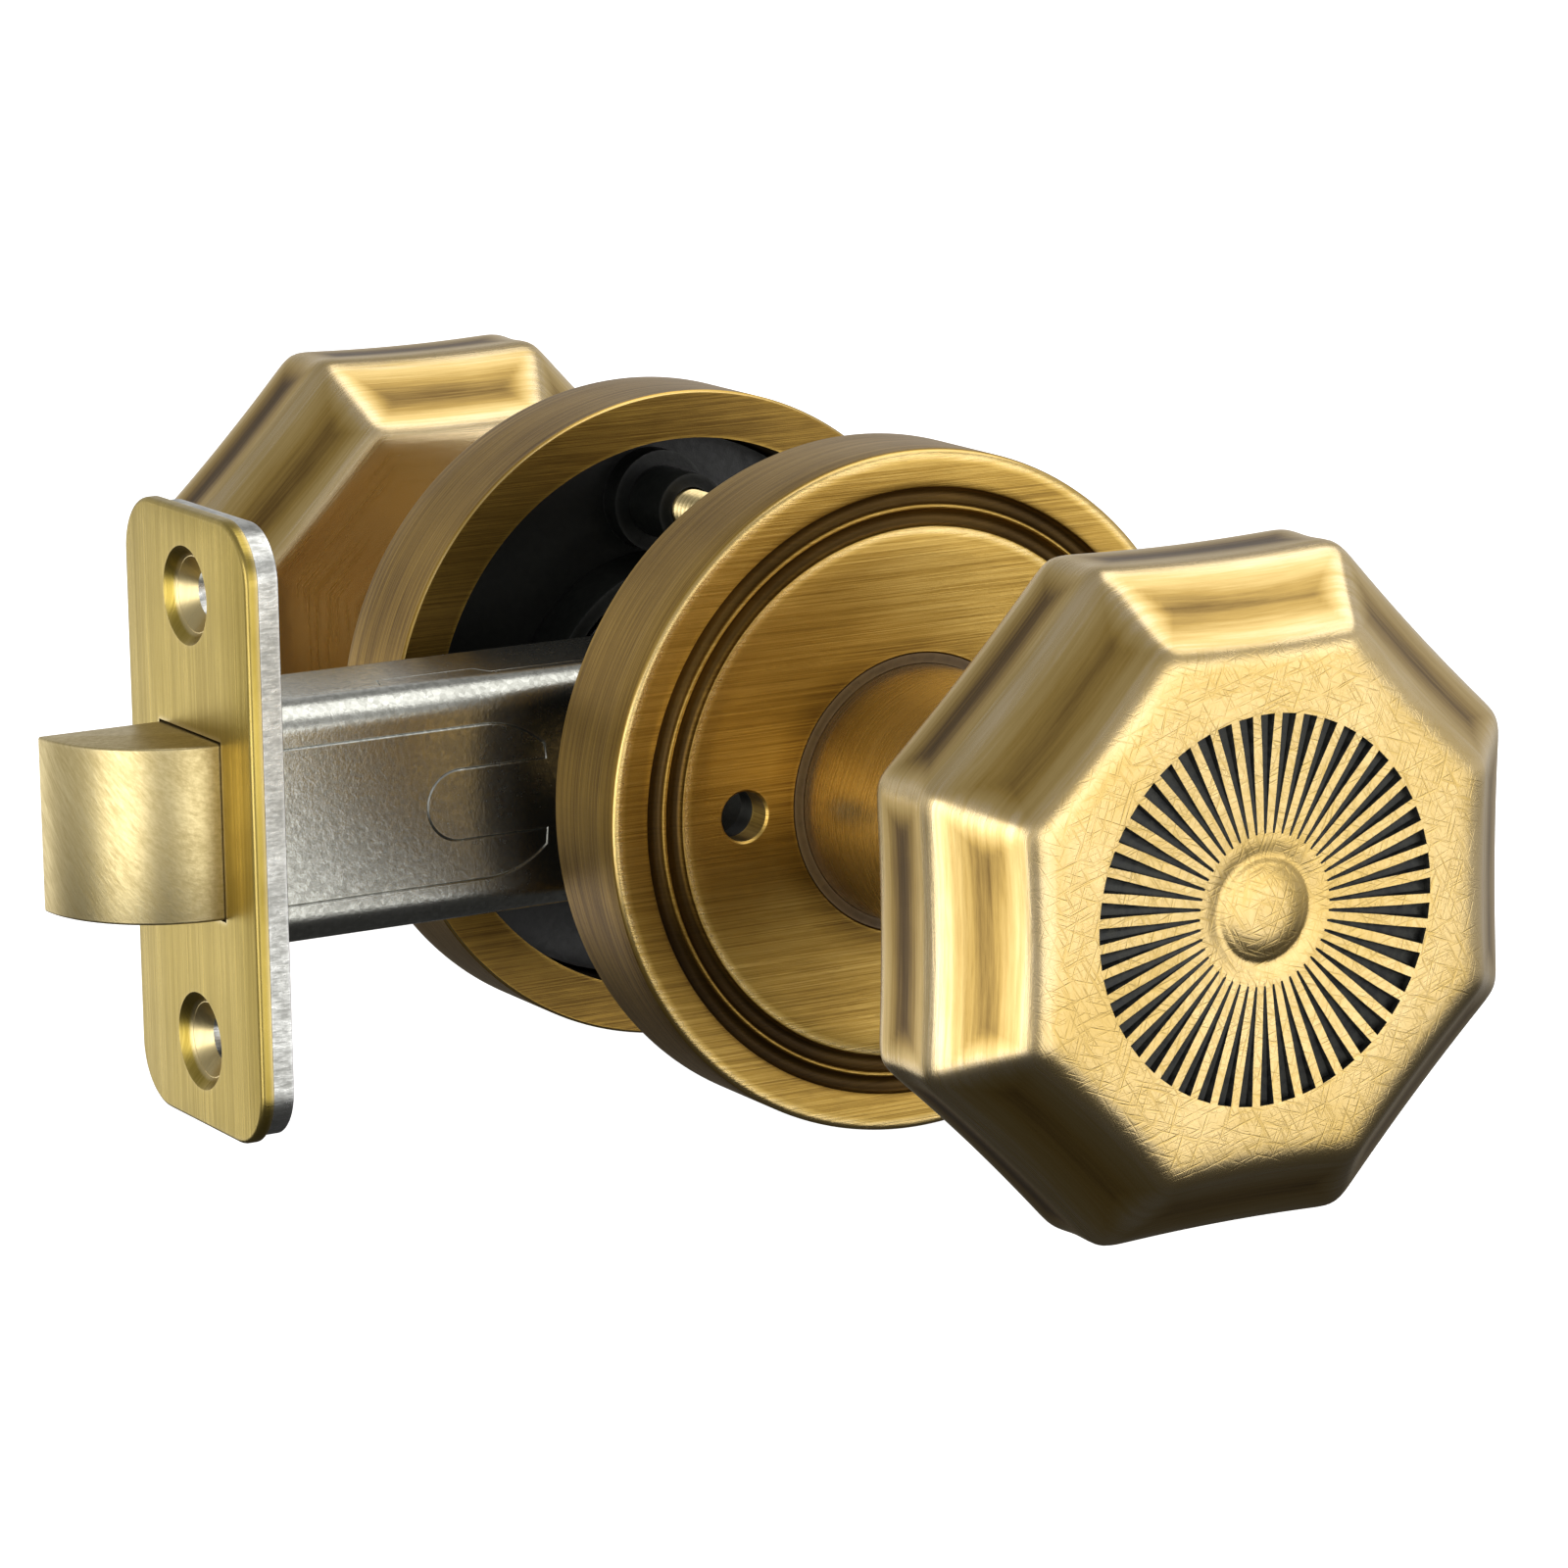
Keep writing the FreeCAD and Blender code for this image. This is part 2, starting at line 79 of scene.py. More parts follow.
def openPiece(piece):
    makeActive(piece)
    bpy.ops.object.mode_set(mode="EDIT")
    bpy.ops.mesh.select_all(action="SELECT")


def moveBy(x, y, z):
    bpy.ops.transform.translate(value=(x, y, z))


def scaleBy(x, y, z):
    bpy.ops.transform.resize(value=(x, y, z), center_override=(0, 0, 0))


def closePiece():
    bpy.ops.object.mode_set(mode="OBJECT")


def nameNew(name):
    piece = bpy.context.object
    piece.name = name
    piece.data.name = name
    bpy.ops.object.transform_apply(location=True, rotation=True, scale=True)
    return piece


def pick(test, kind="VERT"):
    # selects vertices, edges or faces of the open piece by place, or by middle and direction
    bpy.ops.mesh.select_mode(type="VERT")
    bpy.ops.mesh.select_all(action="DESELECT")
    bpy.ops.mesh.select_mode(type=kind)
    data = bpy.context.edit_object.data
    mesh = bmesh.from_edit_mesh(data)
    if kind == "VERT":
        for vertex in mesh.verts:
            vertex.select_set(test(vertex.co))
    elif kind == "EDGE":
        for edge in mesh.edges:
            first, second = (vertex.co for vertex in edge.verts)
            edge.select_set(test((first + second) / 2, (second - first).normalized()))
    else:
        for face in mesh.faces:
            face.select_set(test(face.calc_center_median(), face.normal))
    mesh.select_flush_mode()
    bmesh.update_edit_mesh(data)


def applyModifier(piece, kind, **settings):
    makeActive(piece)
    modifier = piece.modifiers.new(kind.lower(), kind)
    for key, value in settings.items():
        setattr(modifier, key, value)
    bpy.ops.object.modifier_apply(modifier=modifier.name)


def growRings(profile):
    # extrudes the selected loop from ring to ring; a ring is (radius, place along Y)
    radius, place = profile[0]
    for nextRadius, nextPlace in profile[1:]:
        bpy.ops.mesh.extrude_region_move(TRANSFORM_OT_translate={"value": (0, nextPlace - place, 0)})
        ratio = nextRadius / radius
        scaleBy(ratio, 1, ratio)
        radius, place = nextRadius, nextPlace


def capRing(ring):
    radius, place = ring
    pick(lambda co: abs(co.y - place) < tiny and abs(math.hypot(co.x, co.z) - radius) < tiny)
    bpy.ops.mesh.edge_face_add()


def turned(name, profile, segments, middle=(0, 0), ends="capped"):
    # a round piece about the Y axis; ends are "capped", "closed" into a ring, or "open"
    bpy.ops.object.select_all(action="DESELECT")
    bpy.ops.mesh.primitive_circle_add(vertices=segments, radius=profile[0][0], fill_type="NOTHING",
                                      location=(0, profile[0][1], 0), rotation=(math.pi / 2, 0, 0))
    piece = nameNew(name)
    openPiece(piece)
    growRings(profile)
    if ends == "capped":
        capRing(profile[0])
        capRing(profile[-1])
    bpy.ops.mesh.select_all(action="SELECT")
    bpy.ops.mesh.remove_doubles(threshold=1e-7)
    if ends != "open":
        bpy.ops.mesh.normals_make_consistent(inside=False)
    moveBy(middle[0], 0, middle[1])
    closePiece()
    return piece


def turnToX(piece):
    # a piece made along Y then lies along X, its -Y end at -X
    makeActive(piece)
    piece.rotation_euler = (0, 0, -math.pi / 2)
    bpy.ops.object.transform_apply(location=True, rotation=True, scale=True)


def joinAll(pieces):
    makeActive(pieces[0])
    for piece in pieces:
        piece.select_set(True)
    bpy.ops.object.join()
    return pieces[0]


def cutWith(piece, cutters, **settings):
    for cutter in cutters:
        applyModifier(piece, "BOOLEAN", object=cutter, operation="DIFFERENCE", solver="EXACT", **settings)
        bpy.data.objects.remove(cutter)


def box(name, low, high):
    bpy.ops.object.select_all(action="DESELECT")
    centre = [(a + b) / 2 for a, b in zip(low, high)]
    size = [b - a for a, b in zip(low, high)]
    bpy.ops.mesh.primitive_cube_add(size=1, location=centre, scale=size)
    return nameNew(name)


def mirrored(piece, name):
    # the same piece on the other side of the door, with its own mesh
    makeActive(piece)
    bpy.ops.object.duplicate()
    copy = bpy.context.object
    copy.name = name
    openPiece(copy)
    scaleBy(1, -1, 1)
    bpy.ops.mesh.normals_make_consistent(inside=False)
    closePiece()
    return copy


def finishPiece(piece, body, nodes, smoothAngle, materials=()):
    makeActive(piece)
    bpy.ops.object.shade_smooth_by_angle(angle=math.radians(smoothAngle))
    if materials:
        piece.data.materials.clear()
        for material in materials:
            piece.data.materials.append(material)
    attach(piece, body)
    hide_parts(*nodes)


# Node helpers

def addNode(tree, kind, sockets=None, **settings):
    made = tree.nodes.new(kind)
    for key, value in settings.items():
        setattr(made, key, value)
    for key, value in (sockets or {}).items():
        if isinstance(value, bpy.types.NodeSocket):
            tree.links.new(value, made.inputs[key])
        else:
            made.inputs[key].default_value = value
    return made


def calc(tree, operation, *values, clamp=False):
    made = addNode(tree, "ShaderNodeMath", dict(enumerate(values)), operation=operation, use_clamp=clamp)
    return made.outputs[0]


def stretched(tree, where, amounts):
    return addNode(tree, "ShaderNodeVectorMath", {0: where, 1: amounts}, operation="MULTIPLY").outputs[0]


def noise(tree, where, scale, detail=2.0, roughness=0.5):
    return addNode(tree, "ShaderNodeTexNoise", {"Vector": where, "Scale": scale, "Detail": detail,
                                                "Roughness": roughness}).outputs


def mixValue(tree, factor, first, second):
    return addNode(tree, "ShaderNodeMix", {0: factor, 2: first, 3: second}).outputs[0]


def weighted(tree, first, second, share):
    # so much of the first value, and the rest of the second
    return calc(tree, "ADD", calc(tree, "MULTIPLY", first, share), calc(tree, "MULTIPLY", second, 1 - share))


def fade(tree, value, low, high, start=0.0, end=1.0):
    made = addNode(tree, "ShaderNodeMapRange", {"Value": value, "From Min": low, "From Max": high,
                                                "To Min": start, "To Max": end},
                   interpolation_type="SMOOTHSTEP")
    return made.outputs["Result"]


def mixColor(tree, factor, first, second, blend="MIX"):
    made = addNode(tree, "ShaderNodeMix", data_type="RGBA", blend_type=blend)
    for index, value in ((0, factor), (6, first), (7, second)):
        if isinstance(value, bpy.types.NodeSocket):
            tree.links.new(value, made.inputs[index])
        else:
            made.inputs[index].default_value = value
    return made.outputs[2]


def colorRamp(tree, value, stops):
    # stops are (place, color), in rising order
    ramp = addNode(tree, "ShaderNodeValToRGB", {"Fac": value})
    while len(ramp.color_ramp.elements) < len(stops):
        ramp.color_ramp.elements.new(0.5)
    for element, (place, color) in zip(ramp.color_ramp.elements, stops):
        element.position = place
        element.color = color
    return ramp.outputs["Color"]


def newGroup(name, inputs, outputs):
    tree = bpy.data.node_groups.new(name, "ShaderNodeTree")
    for label, kind, value in inputs:
        socket = tree.interface.new_socket(name=label, in_out="INPUT", socket_type="NodeSocket" + kind)
        if value is not None:
            socket.default_value = value
    for label, kind in outputs:
        tree.interface.new_socket(name=label, in_out="OUTPUT", socket_type="NodeSocket" + kind)
    return tree, tree.nodes.new("NodeGroupInput").outputs, tree.nodes.new("NodeGroupOutput").inputs


def useGroup(tree, group, **sockets):
    made = tree.nodes.new("ShaderNodeGroup")
    made.node_tree = group
    for key, value in sockets.items():
        label = key[0].upper() + key[1:]
        if isinstance(value, bpy.types.NodeSocket):
            tree.links.new(value, made.inputs[label])
        else:
            made.inputs[label].default_value = value
    return made.outputs


def makeBrushMarks():
    # fine parallel scratches; Across is the place times how often they change, Fine the share of thin ones
    tree, given, out = newGroup("brushMarks", [("Across", "Vector", None), ("Fine", "Float", 0.72)],
                                [("Streak", "Float"), ("Height", "Float")])
    fine = noise(tree, given["Across"], 1.0, 5.0, 0.72)[0]
    broad = addNode(tree, "ShaderNodeVectorMath", {0: given["Across"], "Scale": 0.16}, operation="SCALE")
    slow = noise(tree, broad.outputs[0], 1.0, 3.0)[0]
    tree.links.new(fade(tree, mixValue(tree, given["Fine"], slow, fine), 0.30, 0.70), out["Streak"])
    tree.links.new(fine, out["Height"])
    return tree


def makeScratches():
    # thin swirling scratches in many directions, as from a polishing cloth
    tree, given, out = newGroup("clothScratches", [("Vector", "Vector", None), ("Scale", "Float", 500.0)],
                                [("Scratch", "Float"), ("Height", "Float")])
    bend = noise(tree, given["Vector"], 160.0, 1.0)["Color"]
    total = None
    for turn in (0.3, 1.25, 2.1, 2.8):
        spun = addNode(tree, "ShaderNodeVectorRotate", {"Vector": given["Vector"], "Angle": turn},
                       rotation_type="Y_AXIS")
        moved = addNode(tree, "ShaderNodeVectorMath", {0: bend, 1: (0.0006, 0.0006, 0.0006),
                                                       2: spun.outputs[0]}, operation="MULTIPLY_ADD")
        drawn = stretched(tree, moved.outputs[0], (0.16, 0.4, 2.4))
        line = fade(tree, noise(tree, drawn, given["Scale"], 2.0, 0.6)[0], 0.50, 0.78)
        total = line if total is None else calc(tree, "MAXIMUM", total, line)
    tree.links.new(total, out["Scratch"])
    tree.links.new(total, out["Height"])
    return tree


def makeAntiqueTone():
    # brown patina, left in the hollows and brushed off to bright brass where Wear is high
    tree, given, out = newGroup("antiqueTone", [("Wear", "Float", 0.5), ("Streak", "Float", 0.5),
                                                ("Vector", "Vector", None)],
                                [("Color", "Color"), ("Roughness", "Float")])
    cloud = noise(tree, given["Vector"], 60.0, 3.0)[0]
    shift = calc(tree, "MULTIPLY", calc(tree, "SUBTRACT", given["Streak"], 0.5), 0.42)
    drift = calc(tree, "MULTIPLY", calc(tree, "SUBTRACT", cloud, 0.5), 0.35)
    wearAndShading = calc(tree, "ADD", calc(tree, "ADD", given["Wear"], shift), drift, clamp=True)
    stops = [(0.0, (0.036, 0.022, 0.008, 1)), (0.28, (0.175, 0.108, 0.030, 1)),
             (0.55, (0.45, 0.31, 0.088, 1)), (0.8, (0.66, 0.50, 0.20, 1)), (1.0, (0.84, 0.70, 0.43, 1))]
    tree.links.new(colorRamp(tree, wearAndShading, stops), out["Color"])
    tree.links.new(fade(tree, wearAndShading, 0.0, 1.0, 0.46, 0.27), out["Roughness"])
    return tree


def makeEdgeWearAndShade():
    # Ridge is high near outward edges, for edge wear; the second output is painted shade, high in corners and
    # pits where less light falls
    tree, given, out = newGroup("edgeWearAndShade", [("Distance", "Float", 0.001)],
                                [("Ridge", "Float"), ("PaintedShade", "Float")])
    for label, inward in (("Ridge", True), ("PaintedShade", False)):
        shade = addNode(tree, "ShaderNodeAmbientOcclusion", {"Distance": given["Distance"]},
                        samples=6, inside=inward, only_local=True)
        tree.links.new(fade(tree, shade.outputs["AO"], 0.95, 0.45), out[label])
    return tree


def makeSpeckle():
    # the small crystals of a plated or cast surface
    tree, given, out = newGroup("metalSpeckle", [("Vector", "Vector", None), ("Scale", "Float", 2500.0)],
                                [("Value", "Float"), ("Height", "Float")])
    cells = addNode(tree, "ShaderNodeTexVoronoi", {"Vector": given["Vector"], "Scale": given["Scale"]})
    grain = noise(tree, given["Vector"], given["Scale"], 4.0, 0.7)[0]
    tone = addNode(tree, "ShaderNodeRGBToBW", {"Color": cells.outputs["Color"]})
    tree.links.new(weighted(tree, tone.outputs[0], grain, 0.5), out["Value"])
    tree.links.new(grain, out["Height"])
    return tree


print("node groups")
brushMarks = makeBrushMarks()
clothScratches = makeScratches()
antiqueTone = makeAntiqueTone()
edgeWearAndShade = makeEdgeWearAndShade()
metalSpeckle = makeSpeckle()


def newMaterial(name, metallic=1.0, **constants):
    material = bpy.data.materials.new(name)
    material.use_nodes = True
    tree = material.node_tree
    shader = tree.nodes["Principled BSDF"]
    shader.inputs["Metallic"].default_value = metallic
    for key, value in constants.items():
        shader.inputs[key].default_value = value
    where = tree.nodes.new("ShaderNodeTexCoord").outputs["Object"]
    return material, tree, shader.inputs, where


def addBump(tree, surface, height, depth, strength=1.0):
    bump = addNode(tree, "ShaderNodeBump", {"Height": height, "Distance": depth, "Strength": strength})
    tree.links.new(bump.outputs[0], surface["Normal"])


def knobBrassMaterial():
    material, tree, surface, where = newMaterial("knobBrass", **{"Coat Weight": 0.15, "Coat Roughness": 0.25})
    parts = addNode(tree, "ShaderNodeSeparateXYZ", {0: where}).outputs
    # the marks run round the eight sides, so they change with the distance of a side and along the axis
    across = calc(tree, "ABSOLUTE", parts[0])
    upright = calc(tree, "ABSOLUTE", parts[2])
    slanted = calc(tree, "MULTIPLY", calc(tree, "ADD", across, upright), math.sqrt(0.5))
    eightSided = calc(tree, "MAXIMUM", calc(tree, "MAXIMUM", across, upright), slanted)
    level = calc(tree, "MULTIPLY_ADD", eightSided, 0.4, calc(tree, "ABSOLUTE", parts[1]))
    lines = addNode(tree, "ShaderNodeCombineXYZ", {0: calc(tree, "MULTIPLY", parts[0], 70.0),
                                                   1: calc(tree, "MULTIPLY", level, 3800.0),
                                                   2: calc(tree, "MULTIPLY", parts[2], 70.0)}).outputs[0]
    marks = useGroup(tree, brushMarks, across=lines, fine=0.85)
    scratches = useGroup(tree, clothScratches, vector=where, scale=1700.0)
    ridge = addNode(tree, "ShaderNodeAttribute", attribute_name="ridge").outputs["Fac"]
    front = addNode(tree, "ShaderNodeAttribute", attribute_name="polished").outputs["Fac"]
    calm = calc(tree, "MULTIPLY", calc(tree, "SUBTRACT", marks["Streak"], 0.5),
                calc(tree, "MULTIPLY_ADD", front, -0.3, 0.45))
    swirl = calc(tree, "MULTIPLY", calc(tree, "MULTIPLY", scratches["Scratch"], front), -0.26)
    streak = calc(tree, "ADD", calc(tree, "ADD", calm, 0.5), swirl)
    tone = useGroup(tree, antiqueTone, wear=ridge, streak=streak, vector=where)
    tint = mixColor(tree, front, (0.97, 0.92, 0.88, 1), (0.96, 0.88, 0.72, 1))
    warm = mixColor(tree, 1.0, tone["Color"], tint, blend="MULTIPLY")
    tree.links.new(warm, surface["Base Color"])
    tree.links.new(tone["Roughness"], surface["Roughness"])
    height = calc(tree, "ADD", calc(tree, "MULTIPLY", marks["Height"], calc(tree, "SUBTRACT", 1.0, front)),
                  calc(tree, "MULTIPLY", scratches["Height"], calc(tree, "MULTIPLY", front, -0.6)))
    addBump(tree, surface, height, 0.00005, 0.55)
    return material


def rayPatinaMaterial():
    material, tree, surface, where = newMaterial("rayPatina", metallic=0.55, Roughness=0.42)
    grain = noise(tree, where, 1400.0, 3.0)[0]
    tree.links.new(mixColor(tree, fade(tree, grain, 0.3, 0.7), (0.018, 0.019, 0.018, 1),
                            (0.050, 0.050, 0.042, 1)), surface["Base Color"])
    tree.links.new(fade(tree, grain, 0.3, 0.7, 0.36, 0.52), surface["Roughness"])
    addBump(tree, surface, grain, 0.00004, 0.6)
    return material


def roseBrassMaterial():
    material, tree, surface, where = newMaterial("roseBrass", **{"Coat Weight": 0.12, "Coat Roughness": 0.3})
    parts = addNode(tree, "ShaderNodeSeparateXYZ", {0: where}).outputs
    flat = addNode(tree, "ShaderNodeCombineXYZ", {0: parts[0], 1: parts[2], 2: 0.0}).outputs[0]
    radius = addNode(tree, "ShaderNodeVectorMath", {0: flat}, operation="LENGTH").outputs["Value"]
    depth = calc(tree, "ABSOLUTE", parts[1])
    onFace = calc(tree, "LESS_THAN", radius, roseLook["radius"] - 0.3 * mm)
    side = useGroup(tree, brushMarks, across=stretched(tree, where, (50, 6500, 50)), fine=0.9)
    face = useGroup(tree, brushMarks, across=stretched(tree, where, (60, 60, 6500)), fine=0.9)
    lines = mixValue(tree, onFace, side["Streak"], face["Streak"])
    height = mixValue(tree, onFace, side["Height"], face["Height"])
    rim = roseLook["radius"] / mm
    # the last stop, on the outer side wall, is set low: less worn, darker brass that is also painted shade on
    # the rose's side
    wearAndShading = [(13.5, 0.46), (16.0, 0.60), (23.7, 0.58), (24.35, 1.0), (24.62, 0.55), (24.9, 0.06),
            (26.0, 0.10), (26.42, 0.50), (26.8, 0.10), (27.9, 0.06), (28.22, 0.30), (28.6, 0.54),
            (30.5, 0.60), (31.1, 1.0), (31.6, 0.90), (31.74, 0.44)]  # radius in mm, and how worn it is there
    rings = colorRamp(tree, calc(tree, "DIVIDE", radius, roseLook["radius"]),
                      [(place / rim, (value, value, value, 1)) for place, value in wearAndShading])
    inside = calc(tree, "LESS_THAN", depth, roseLook["rimDepth"] + 0.02 * mm)  # the rim against the door
    wear = mixValue(tree, inside, rings, 0.36)
    smooth = fade(tree, wear, 0.10, 0.50, 0.10, 0.80)  # no brush marks down in the grooves
    streak = calc(tree, "MULTIPLY_ADD", calc(tree, "SUBTRACT", lines, 0.5), smooth, 0.5)
    edges = useGroup(tree, edgeWearAndShade, distance=0.5 * mm)
    lifted = calc(tree, "MULTIPLY_ADD", edges["Ridge"], 0.25, wear)
    tone = useGroup(tree, antiqueTone, wear=lifted, streak=streak, vector=where)
    warm = mixColor(tree, 1.0, tone["Color"], (1.0, 0.88, 0.60, 1), blend="MULTIPLY")
    tree.links.new(warm, surface["Base Color"])
    tree.links.new(tone["Roughness"], surface["Roughness"])
    addBump(tree, surface, height, 0.00005, 0.6)
    return material


def satinBrassMaterial(name, lines, dark, light, roughness, tilt=0.0):
    material, tree, surface, where = newMaterial(name)
    leaning = addNode(tree, "ShaderNodeVectorRotate", {"Vector": where, "Angle": tilt},
                      rotation_type="X_AXIS").outputs[0]
    marks = useGroup(tree, brushMarks, across=stretched(tree, leaning, lines))
    cloud = noise(tree, where, 70.0)[0]
    wearAndShading = useGroup(tree, edgeWearAndShade, distance=0.6 * mm)
    value = weighted(tree, marks["Streak"], cloud, 0.6)
    base = mixColor(tree, value, dark, light)
    tree.links.new(mixColor(tree, calc(tree, "MULTIPLY", wearAndShading["Ridge"], 0.55), base, (0.95, 0.80, 0.48, 1)),
                   surface["Base Color"])
    tree.links.new(fade(tree, value, 0.1, 0.9, roughness + 0.06, roughness - 0.05), surface["Roughness"])
    addBump(tree, surface, marks["Height"], 0.00004, 0.5)
    return material


def platedMaterial(name, dark, light, roughness, scale, lines=None, depth=0.00003, metallic=1.0):
    # plated, cast or drawn metal with speckle, slight clouds, brighter edges and painted shade in corners and
    # pits
    material, tree, surface, where = newMaterial(name, metallic=metallic)
    speckle = useGroup(tree, metalSpeckle, vector=where, scale=scale)
    cloud = noise(tree, where, 45.0, 4.0)[0]
    value = weighted(tree, speckle["Value"], cloud, 0.5)
    height = speckle["Height"]
    if lines:
        marks = useGroup(tree, brushMarks, across=stretched(tree, where, lines))
        value = weighted(tree, value, marks["Streak"], 0.5)
        height = marks["Height"]
    wearAndShading = useGroup(tree, edgeWearAndShade, distance=0.5 * mm)
    base = mixColor(tree, fade(tree, value, 0.25, 0.75), dark, light)
    bright = tuple(min(1.0, part * 1.35 + 0.03) for part in light[:3]) + (1,)
    edged = mixColor(tree, calc(tree, "MULTIPLY", wearAndShading["Ridge"], 0.6), base, bright)
    # painted shade: the colour is darkened in corners and pits, where less light falls
    paintedHollowShade = mixColor(tree, calc(tree, "MULTIPLY", wearAndShading["PaintedShade"], 0.5), edged,
                      tuple(part * 0.4 for part in dark[:3]) + (1,))
    tree.links.new(paintedHollowShade, surface["Base Color"])
    tree.links.new(fade(tree, value, 0.2, 0.8, roughness + 0.07, roughness - 0.05), surface["Roughness"])
    addBump(tree, surface, height, depth, 0.6)
    return material


# Octagonal knobs

knobLook = {
    "length": 22 * mm,         # from the front face to the back face
    "frontFlat": 22.75 * mm,   # middle of a side to the axis, at the front face
    "backFlat": 23.0 * mm,
    "flatBand": 21.2 * mm,     # a row that keeps the front and back faces flat
    "openingFlat": 19.6 * mm,  # where the eight-sided shell meets the round disc and neck
    "sideColumns": 12,
    "frontBevel": 7.0 * mm,
    "backBevel": 7.0 * mm,
    "buttonProud": 0.1 * mm,
    "scoop": 0.012,            # how far the sides are hollowed, as a share of their distance
    "bandScoop": 0.35 * mm,
    "bevelScoop": 0.3 * mm,
    "rounding": 6,             # passes that round the ridges
    "discRadius": 17.4 * mm,
    "discThickness": 4 * mm,
    "dishRadius": 17.2 * mm,
    "dishDepth": 0.42 * mm,
    "rays": 48,
    "rayInner": 6.6 * mm,
    "rayOuter": 16.9 * mm,
    "rayInnerWidth": 0.34 * mm,
    "rayOuterWidth": 1.46 * mm,
    "rayDepth": 0.9 * mm,
    "rayBottom": 0.72,         # width of a ray's bottom, as a share of its width
    "buttonRadius": 4.2 * mm,
    "ridgeWidth": 2.9 * mm,
}


def sideway(co):
    # place along one of the eight sides, and distance of that side from the axis
    angle = (math.atan2(co.z, co.x) + math.pi / 8) % (math.pi / 4) - math.pi / 8
    radius = math.hypot(co.x, co.z)
    return radius * math.sin(angle), radius * math.cos(angle)


def hollowRows(first, last, steps, depth):
    # rows from one (flat, place) to another, pressed in between by depth
    rows = []
    for step in range(1, steps + 1):
        share = step / steps
        flat = first[0] + (last[0] - first[0]) * share
        press = depth * (1 - (2 * share - 1) ** 2)
        rows.append((flat - press, first[1] + (last[1] - first[1]) * share))
    return rows


def knobShell(frontPlace, ridgeFlat, backPlace):
    look = knobLook
    columns, start, band = look["sideColumns"], look["openingFlat"], look["flatBand"]
    corner = start / math.cos(math.pi / 8)
    bpy.ops.object.select_all(action="DESELECT")
    bpy.ops.mesh.primitive_circle_add(vertices=8, radius=corner, fill_type="NOTHING",
                                      location=(0, frontPlace, 0), rotation=(math.pi / 2, math.pi / 8, 0))
    shell = nameNew("knobShell")
    openPiece(shell)
    bpy.ops.mesh.subdivide(number_cuts=2 * columns - 1)
    half = start * math.tan(math.pi / 8)
    for column in range(columns):  # each side is hollowed, column by column
        along = column / columns
        pick(lambda co: abs(abs(sideway(co)[0]) - along * half) < tiny and abs(co.y - frontPlace) < tiny)
        press = 1 - look["scoop"] * (1 - along ** 2)
        scaleBy(press, 1, press)
    bpy.ops.mesh.select_all(action="SELECT")
    ridgeFront = frontPlace + look["frontBevel"]
    ridgeBack = backPlace - look["backBevel"]
    profile = [(start, frontPlace), (band, frontPlace), (look["frontFlat"], frontPlace)]
    profile += hollowRows(profile[-1], (ridgeFlat, ridgeFront), 8, look["bevelScoop"])
    profile += hollowRows(profile[-1], (ridgeFlat, ridgeBack), 7, look["bandScoop"])
    profile += hollowRows(profile[-1], (look["backFlat"], backPlace), 8, look["bevelScoop"])
    profile += [(band, backPlace), (start, backPlace)]
    growRings(profile)
    closePiece()
    loose = shell.vertex_groups.new(name="loose")
    for vertex in shell.data.vertices:
        co = vertex.co
        onFace = abs(co.y - frontPlace) < tiny or abs(co.y - backPlace) < tiny
        inner = sideway(co)[1] < (start + band) / 2 and onFace
        loose.add([vertex.index], 0.0 if inner else 1.0, "REPLACE")
    applyModifier(shell, "SMOOTH", factor=0.5, iterations=look["rounding"], vertex_group="loose")
    applyModifier(shell, "SUBSURF", levels=1, render_levels=1)
    return shell


def dishAt(radius):
    # depth of the dished disc at a distance from the axis
    return knobLook["dishDepth"] * (1 - (radius / knobLook["dishRadius"]) ** 2)


def rayCutter(frontPlace):
    # wedges that grow wider and deeper outwards, with a round bottom
    look = knobLook
    cutter = box("rays", (look["rayInner"], frontPlace - 1 * mm, -0.5 * look["rayOuterWidth"]),
                 (look["rayOuter"], frontPlace + look["rayDepth"], 0.5 * look["rayOuterWidth"]))
    openPiece(cutter)
    bpy.ops.mesh.subdivide(number_cuts=1)  # a middle row, so that the bottom can be rounded
    pick(lambda co: co.y > frontPlace + look["rayDepth"] - tiny and abs(co.z) > tiny)
    scaleBy(1, 1, look["rayBottom"])
    moveBy(0, -0.14 * look["rayDepth"], 0)
    inner, outer = look["rayInner"], look["rayOuter"]
    middle = (inner + outer) / 2
    taper = look["rayInnerWidth"] / look["rayOuterWidth"]
    rise = look["rayDepth"] - dishAt(inner) - 0.1 * mm
    below = frontPlace - 0.3 * mm  # all but the rows that stand out of the face
    pick(lambda co: co.x < inner + tiny)
    scaleBy(1, 1, taper)
    pick(lambda co: co.x < inner + tiny and co.y > below)
    moveBy(0, -rise, 0)
    pick(lambda co: abs(co.x - middle) < tiny)  # halfway, a little slimmer and lower than a straight line
    scaleBy(1, 1, (1 + taper) / 2 * 0.94)
    pick(lambda co: abs(co.x - middle) < tiny and co.y > below)
    moveBy(0, -rise * 0.52, 0)
    bpy.ops.mesh.select_all(action="SELECT")
    share = (look["rays"] - 1) / look["rays"]
    bpy.ops.mesh.spin(steps=look["rays"] - 1, dupli=True, angle=2 * math.pi * share, center=(0, 0, 0),
                      axis=(0, 1, 0))
    bpy.ops.mesh.select_all(action="SELECT")
    bpy.ops.mesh.normals_make_consistent(inside=False)
    closePiece()
    cutter.data.materials.append(rayPatina)
    return cutter


